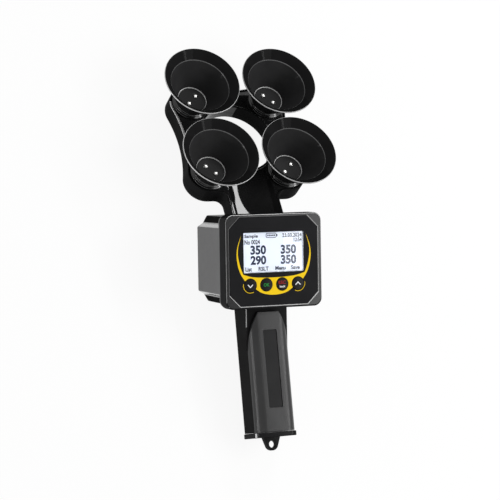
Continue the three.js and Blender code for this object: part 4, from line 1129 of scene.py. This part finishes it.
# Grip
GRIP_WIDTH = 40.8
GRIP_DEPTH = 38.4
GRIP_END = -118.2
GRIP_WALL = 2.4
GRIP_BACK_ROUND = 6
GRIP_FRONT_ROUND = 10
GRIP_TOP = 20
BEYOND_GRIP = -130
JOINT_DEPTH = 10
JOINT_GAP = 0.3
COVER_TOP = -4.7
ARCH_FOOT_HALF = 20.4
ARCH_TOP_HALF = 10.5
ARCH_HEIGHT = 33.5
SHOULDER_DEPTH = 2.6
SHOULDER_HALF = 21.5
SHOULDER_SPLIT = -18
PLATE_ROW = -58.85
PLATE_SIZE = (13.5, 73.5)
PLATE_TOP = -0.6
PLATE_GAP = 0.3
SLOPE = sin(GRIP_LEAN) / cos(GRIP_LEAN)
KNEE = -(JOINT_DEPTH - SHOULDER_DEPTH) / SLOPE


def section(width, low, high, low_radius, high_radius, steps=12):
    """The grip's cross-section as a flat sheet, front edge up."""
    half = width / 2
    bm = bmesh.new()
    pen = Pen(bm, half - low_radius, low)
    pen.arc(half - low_radius, low + low_radius, 90, steps).line(half, high - high_radius)
    pen.arc(half - high_radius, high - high_radius, 90, steps).line(high_radius - half, high)
    pen.arc(high_radius - half, high - high_radius, 90, steps).line(-half, low + low_radius)
    pen.arc(low_radius - half, low + low_radius, 90, steps).close()
    return filled(bm)


def grip_bar(low, high, inset=0.0):
    """The grip's plain bar between two heights, or with an inset its hollow."""
    rounds = GRIP_BACK_ROUND - inset, GRIP_FRONT_ROUND - inset
    return run_along(section(GRIP_WIDTH - 2 * inset, inset - GRIP_DEPTH, -inset, *rounds), low, high)


def run_across(points, half):
    """A side view of heights along the grip and depths, run across it to both sides."""
    bm = bmesh.new()
    pen = Pen(bm, *points[0])
    for point in points[1:]:
        pen.line(*point)
    pen.close()
    thicken(filled(bm), 2 * half)
    upright = Matrix(((0, 0, 1, half), (1, 0, 0, 0), (0, 1, 0, 0), (0, 0, 0, 1)))
    bmesh.ops.transform(bm, verts=bm.verts, space=Matrix.Identity(4), matrix=upright)
    return tidy(bm)


def shoulder_height(y):
    return -SHOULDER_DEPTH + y * SLOPE


def front_region(offset=0.0):
    """What lies in front of the joint between the two shells of the grip."""
    joint = offset - JOINT_DEPTH
    start = shoulder_height(GRIP_TOP) + offset
    return run_across([(-140, joint), (KNEE, joint), (GRIP_TOP, start), (GRIP_TOP, 30), (-140, 30)], 30)


def arch_block():
    """An upright block bounded by the arch at the top of the grey cover."""
    inward = ARCH_FOOT_HALF - ARCH_TOP_HALF
    radius = (inward * inward + ARCH_HEIGHT * ARCH_HEIGHT) / (2 * inward)
    sweep = degrees(asin(ARCH_HEIGHT / radius))
    start = COVER_TOP - ARCH_HEIGHT
    bm = bmesh.new()
    pen = Pen(bm, ARCH_FOOT_HALF, BEYOND_GRIP, 20)
    pen.line(ARCH_FOOT_HALF, start).arc(ARCH_FOOT_HALF - radius, start, sweep, 24)
    pen.line(-ARCH_TOP_HALF, COVER_TOP)
    pen.arc(radius - ARCH_FOOT_HALF, start, sweep, 24).line(-ARCH_FOOT_HALF, BEYOND_GRIP).close()
    return thicken(filled(bm), 60)


def shoulder():
    low = KNEE + 2.4
    points = [(low, shoulder_height(low) - 2.4), (low, shoulder_height(low))]
    points += [(GRIP_TOP, shoulder_height(GRIP_TOP)), (GRIP_TOP, -24)]
    bm = run_across(points, SHOULDER_HALF)
    return round_edges(bm, lambda edge: edge.calc_face_angle(0) > radians(60), 1.2, 4)


def make_grip_back():
    rear = combine(grip_bar(GRIP_END, GRIP_TOP), front_region())
    rear = trim_at_box(combine(rear, shoulder(), how="UNION"), GRIP, 0.1 - BOX_TOP, 1)
    rear = combine(rear, grip_bar(BEYOND_GRIP, -60, GRIP_WALL))
    split(rear, (0, SHOULDER_SPLIT, 0), (0, 1, 0))

    def ridge(at, normal):
        upper = at.y > SHOULDER_SPLIT and abs(at.x) > 19
        return upper and 0.2 < normal.z < 0.95 and abs(normal.x) > 0.3

    # Painted highlight: a grey band on the shoulder's sloped side edges above the split.
    look = {"nodes": ["grip_rear_shell"], "slot": "grip_shell", "bands": [(SOFT_PAINTED_HIGHLIGHT, ridge)]}
    finish_piece("grip_back", rear, GRIP, GLOSS_BLACK, **look)


def make_grip_cover():
    cover = combine(grip_bar(GRIP_END, COVER_TOP), front_region(JOINT_GAP), how="INTERSECT")
    cover = combine(cover, arch_block(), how="INTERSECT")
    width, height = PLATE_SIZE
    recess = block(width + 2 * PLATE_GAP, height + 2 * PLATE_GAP, 1.2, 1, 2.4, 4, 0, PLATE_ROW)
    cover = combine(cover, recess, grip_bar(BEYOND_GRIP, GRIP_TOP, GRIP_WALL))
    look = {"nodes": ["grip_front_shell"], "slot": "grip_cover"}
    piece = finish_piece("grip_cover_grey", cover, GRIP, GRIP_GREY, **look)
    soft = piece.modifiers.new("soft_edges", "BEVEL")
    soft.width = 1.2 * MM
    soft.segments = 3
    soft.limit_method = "ANGLE"
    soft.angle_limit = radians(50)
    plate = block(width, height, 1.0, PLATE_TOP, 0.8, 4, 0, PLATE_ROW)
    round_edges(plate, at_level(PLATE_TOP), 0.25, 2)
    finish_piece("grip_plate_blank", plate, GRIP, PLATE_DARK, nodes=["grip_plate"], slot="plate_film")


# End cap
LID_LOW = -123.3
LID_HIGH = -118.7
LID_ROUND = 0.6
LUG_CENTRE = -130
LUG_RADIUS = 6
LUG_HOLE = 3.4
LUG_TOP = -16.2
LUG_THICKNESS = 6
LUG_ROOT = (9.5, -121)
CAP_SCREW_SIDE = 15
CAP_SCREW_DEPTH = -19.2


def cord_lug():
    """The rounded lug with its hole, widening to its root in the lid."""
    bm = bmesh.new()
    start = radians(200)
    root_half, root = LUG_ROOT
    pen = Pen(bm, LUG_RADIUS * cos(start), LUG_CENTRE + LUG_RADIUS * sin(start), LUG_TOP)
    pen.arc(0, LUG_CENTRE, 140, 24).line(root_half, root).line(-root_half, root).close()
    lug = combine(thicken(filled(bm), LUG_THICKNESS), rod(LUG_HOLE, -30, 0, 0, LUG_CENTRE, 48))
    front, back = at_level(LUG_TOP), at_level(LUG_TOP - LUG_THICKNESS)
    return round_edges(lug, lambda edge: front(edge) or back(edge), LID_ROUND, 3)


def make_end_cap():
    lid = run_along(section(42.0, -39.0, 0.6, 6, 8), LID_LOW, LID_HIGH)
    for level in (LID_LOW, LID_HIGH):
        round_edges(lid, at_level(level, 60, axis=1), LID_ROUND, 4)
    whole = combine(lid, cord_lug(), how="UNION")
    seats = []
    for x in (-CAP_SCREW_SIDE, CAP_SCREW_SIDE):
        seat = turned_over(rod(2.8, 0, 1.9, sides=32), -90)
        seats.append(placed(seat, x, LID_LOW, CAP_SCREW_DEPTH))
    whole = combine(whole, *seats)

    def rim(at, normal):
        return at.y > -118.95 and 0.5 < abs(normal.y) < 0.97 and at.z > -4

    def corner(at, normal):
        return abs(normal.y) < 0.3 and -9 < at.z < -0.01 and (normal.x < -0.9 or 0.02 < normal.x < 0.32)

    # Painted highlights: a fine grey line round the lid's top rim and brighter grey bands on its front
    # corners.
    bands = [(FINE_PAINTED_HIGHLIGHT, rim), (BRIGHT_PAINTED_HIGHLIGHT, corner)]
    finish_piece("cord_lug_cap", whole, GRIP, CAP_BLACK, "cap", ["end_cap"], "cap_plastic", bands=bands)


# CAD nodes that stay get their finishes, by the start of their names
NODE_FINISHES = {
    "cup_seal": RUBBER,
    "cup_nut": NYLON,
    "frame_screw": STEEL,
    "sensor_harness": SHEATH,
    "housing_gasket": RUBBER,
    "keypad_mat": RUBBER,
    "main_board": LAMINATE,
    "housing_screw": STEEL,
    "end_cap_seal": RUBBER,
    "end_cap_screw": STEEL,
    "cell_holder": NYLON,
    "cell_": CELL_CAN,
    "battery_lead": SHEATH,
}


def dress_nodes():
    for name, node in frame["nodes"].items():
        for start, material in NODE_FINISHES.items():
            if name.startswith(start):
                node.data.materials.clear()
                node.data.materials.append(material)
                break


# Stage, light and camera
FLOOR_REACH = 6
FLOOR_GLOW_SHARE = 0.9
WORLD_LEVEL = 0.45
PANEL_REACH = 1.3
PANELS = {
    "panel_left": ((0, -90, -10), (-0.99, -0.05, 0.09), (0, 1, 0), 0.9, 0.16, 0.42),
    "panel_right": ((0, -60, -10), (0.61, 0.1, 0.79), (0, 1, 0), 0.9, 0.6, 0.38),
    "strip_right": ((0, -90, -10), (0.71, 0.14, 0.69), (0, 1, 0), 0.8, 0.1, 0.2),
    "panel_front": ((0, 60, -20), (-0.55, -0.42, 0.72), (0, 1, 0), 0.9, 0.9, 0.08),
    "panel_far": ((-10, 60, -45), (0.35, 0.82, 0.45), (-0.06, 0.03, 0.12), 0.38, 0.3, 0.25),
}
CAMERA_RIGHT = Vector((0.916146, -0.016029, 0.400524))
CAMERA_UP = Vector((0.038429, 0.998110, -0.047958))
CAMERA_BACK = Vector((-0.398998, 0.059328, 0.915030))
CAMERA_EYE = Vector((-772.5, 122.3, 1715.3))
CAMERA_LENS = 144
CAMERA_SENSOR = 36


def white_to_camera(nodes, links, shade, white):
    """Mixes in plain white for what the camera, mirrors and glass see."""
    path = nodes.new("ShaderNodeLightPath").outputs
    seen = add_math(nodes, links, "MAXIMUM", path["Is Camera Ray"], path["Is Transmission Ray"])
    every = add_math(nodes, links, "MAXIMUM", seen, path["Is Glossy Ray"])
    mix = nodes.new("ShaderNodeMixShader")
    links.new(every, mix.inputs["Fac"])
    links.new(shade, mix.inputs[1])
    links.new(white, mix.inputs[2])
    return mix.outputs["Shader"]


def make_floor():
    bm = bmesh.new()
    bmesh.ops.create_circle(bm, cap_ends=True, segments=96, radius=FLOOR_REACH)
    mesh = mesh_of(bm, "floor")
    floor = linked("floor", mesh)
    material, nodes, links, shader = new_material("floor_white")
    set_inputs(shader, {"Base Color": (0.9, 0.9, 0.9, 1), "Roughness": 0.9, "Specular IOR Level": 0})
    glow = nodes.new("ShaderNodeEmission")
    glow.inputs["Strength"].default_value = 1
    part = nodes.new("ShaderNodeMixShader")
    part.inputs["Fac"].default_value = FLOOR_GLOW_SHARE
    links.new(shader.outputs["BSDF"], part.inputs[1])
    links.new(glow.outputs["Emission"], part.inputs[2])
    surface = white_to_camera(nodes, links, shader.outputs["BSDF"], part.outputs["Shader"])
    links.new(surface, nodes["Material Output"].inputs["Surface"])
    mesh.materials.append(material)


def make_world():
    world = bpy.data.worlds.new("studio")
    bpy.context.scene.world = world
    world.use_nodes = True
    nodes, links = world.node_tree.nodes, world.node_tree.links
    soft = nodes["Background"]
    white = nodes.new("ShaderNodeBackground")
    for background, strength in ((soft, WORLD_LEVEL), (white, 1)):
        set_inputs(background, {"Color": (1, 1, 1, 1), "Strength": strength})
    surface = white_to_camera(nodes, links, soft.outputs["Background"], white.outputs["Background"])
    links.new(surface, nodes["World Output"].inputs["Surface"])


def add_panel(name, target, direction, along, length, width, share):
    """A panel lamp that faces a point of the box, in the box's millimetres, and gives a share of white."""
    light = bpy.data.lights.new(name, "AREA")
    light.shape = "RECTANGLE"
    light.size = length
    light.size_y = width
    light.energy = share * (pi * PANEL_REACH) ** 2
    lamp = linked(name, light)
    back = (turn @ Vector(direction)).normalized()
    side = turn @ Vector(along)
    side = (side - side.dot(back) * back).normalized()
    spot = Matrix((side, back.cross(side), back)).transposed().to_4x4()
    spot.translation = BOX @ Vector(target) + back * PANEL_REACH
    lamp.matrix_world = spot


def make_camera():
    """The photograph's viewpoint, given in the frame of the box."""
    lens = bpy.data.cameras.new("camera")
    lens.lens = CAMERA_LENS
    lens.sensor_width = CAMERA_SENSOR
    lens.clip_end = 30
    camera = linked("camera", lens)
    rows = Matrix((CAMERA_RIGHT, CAMERA_UP, CAMERA_BACK)).transposed()
    spot = (turn.to_3x3() @ rows).to_4x4()
    spot.translation = BOX @ CAMERA_EYE
    camera.matrix_world = spot
    bpy.context.scene.camera = camera


make_head()
make_cups()
make_bezel()
make_overlay()
make_housing()
make_display()
make_keys()
make_yellow()
make_readings()
make_grip_back()
make_grip_cover()
make_end_cap()
dress_nodes()
make_floor()
make_world()
make_camera()
for name, panel in PANELS.items():
    add_panel(name, *panel)

scene = bpy.context.scene
scene.view_settings.view_transform = "Standard"
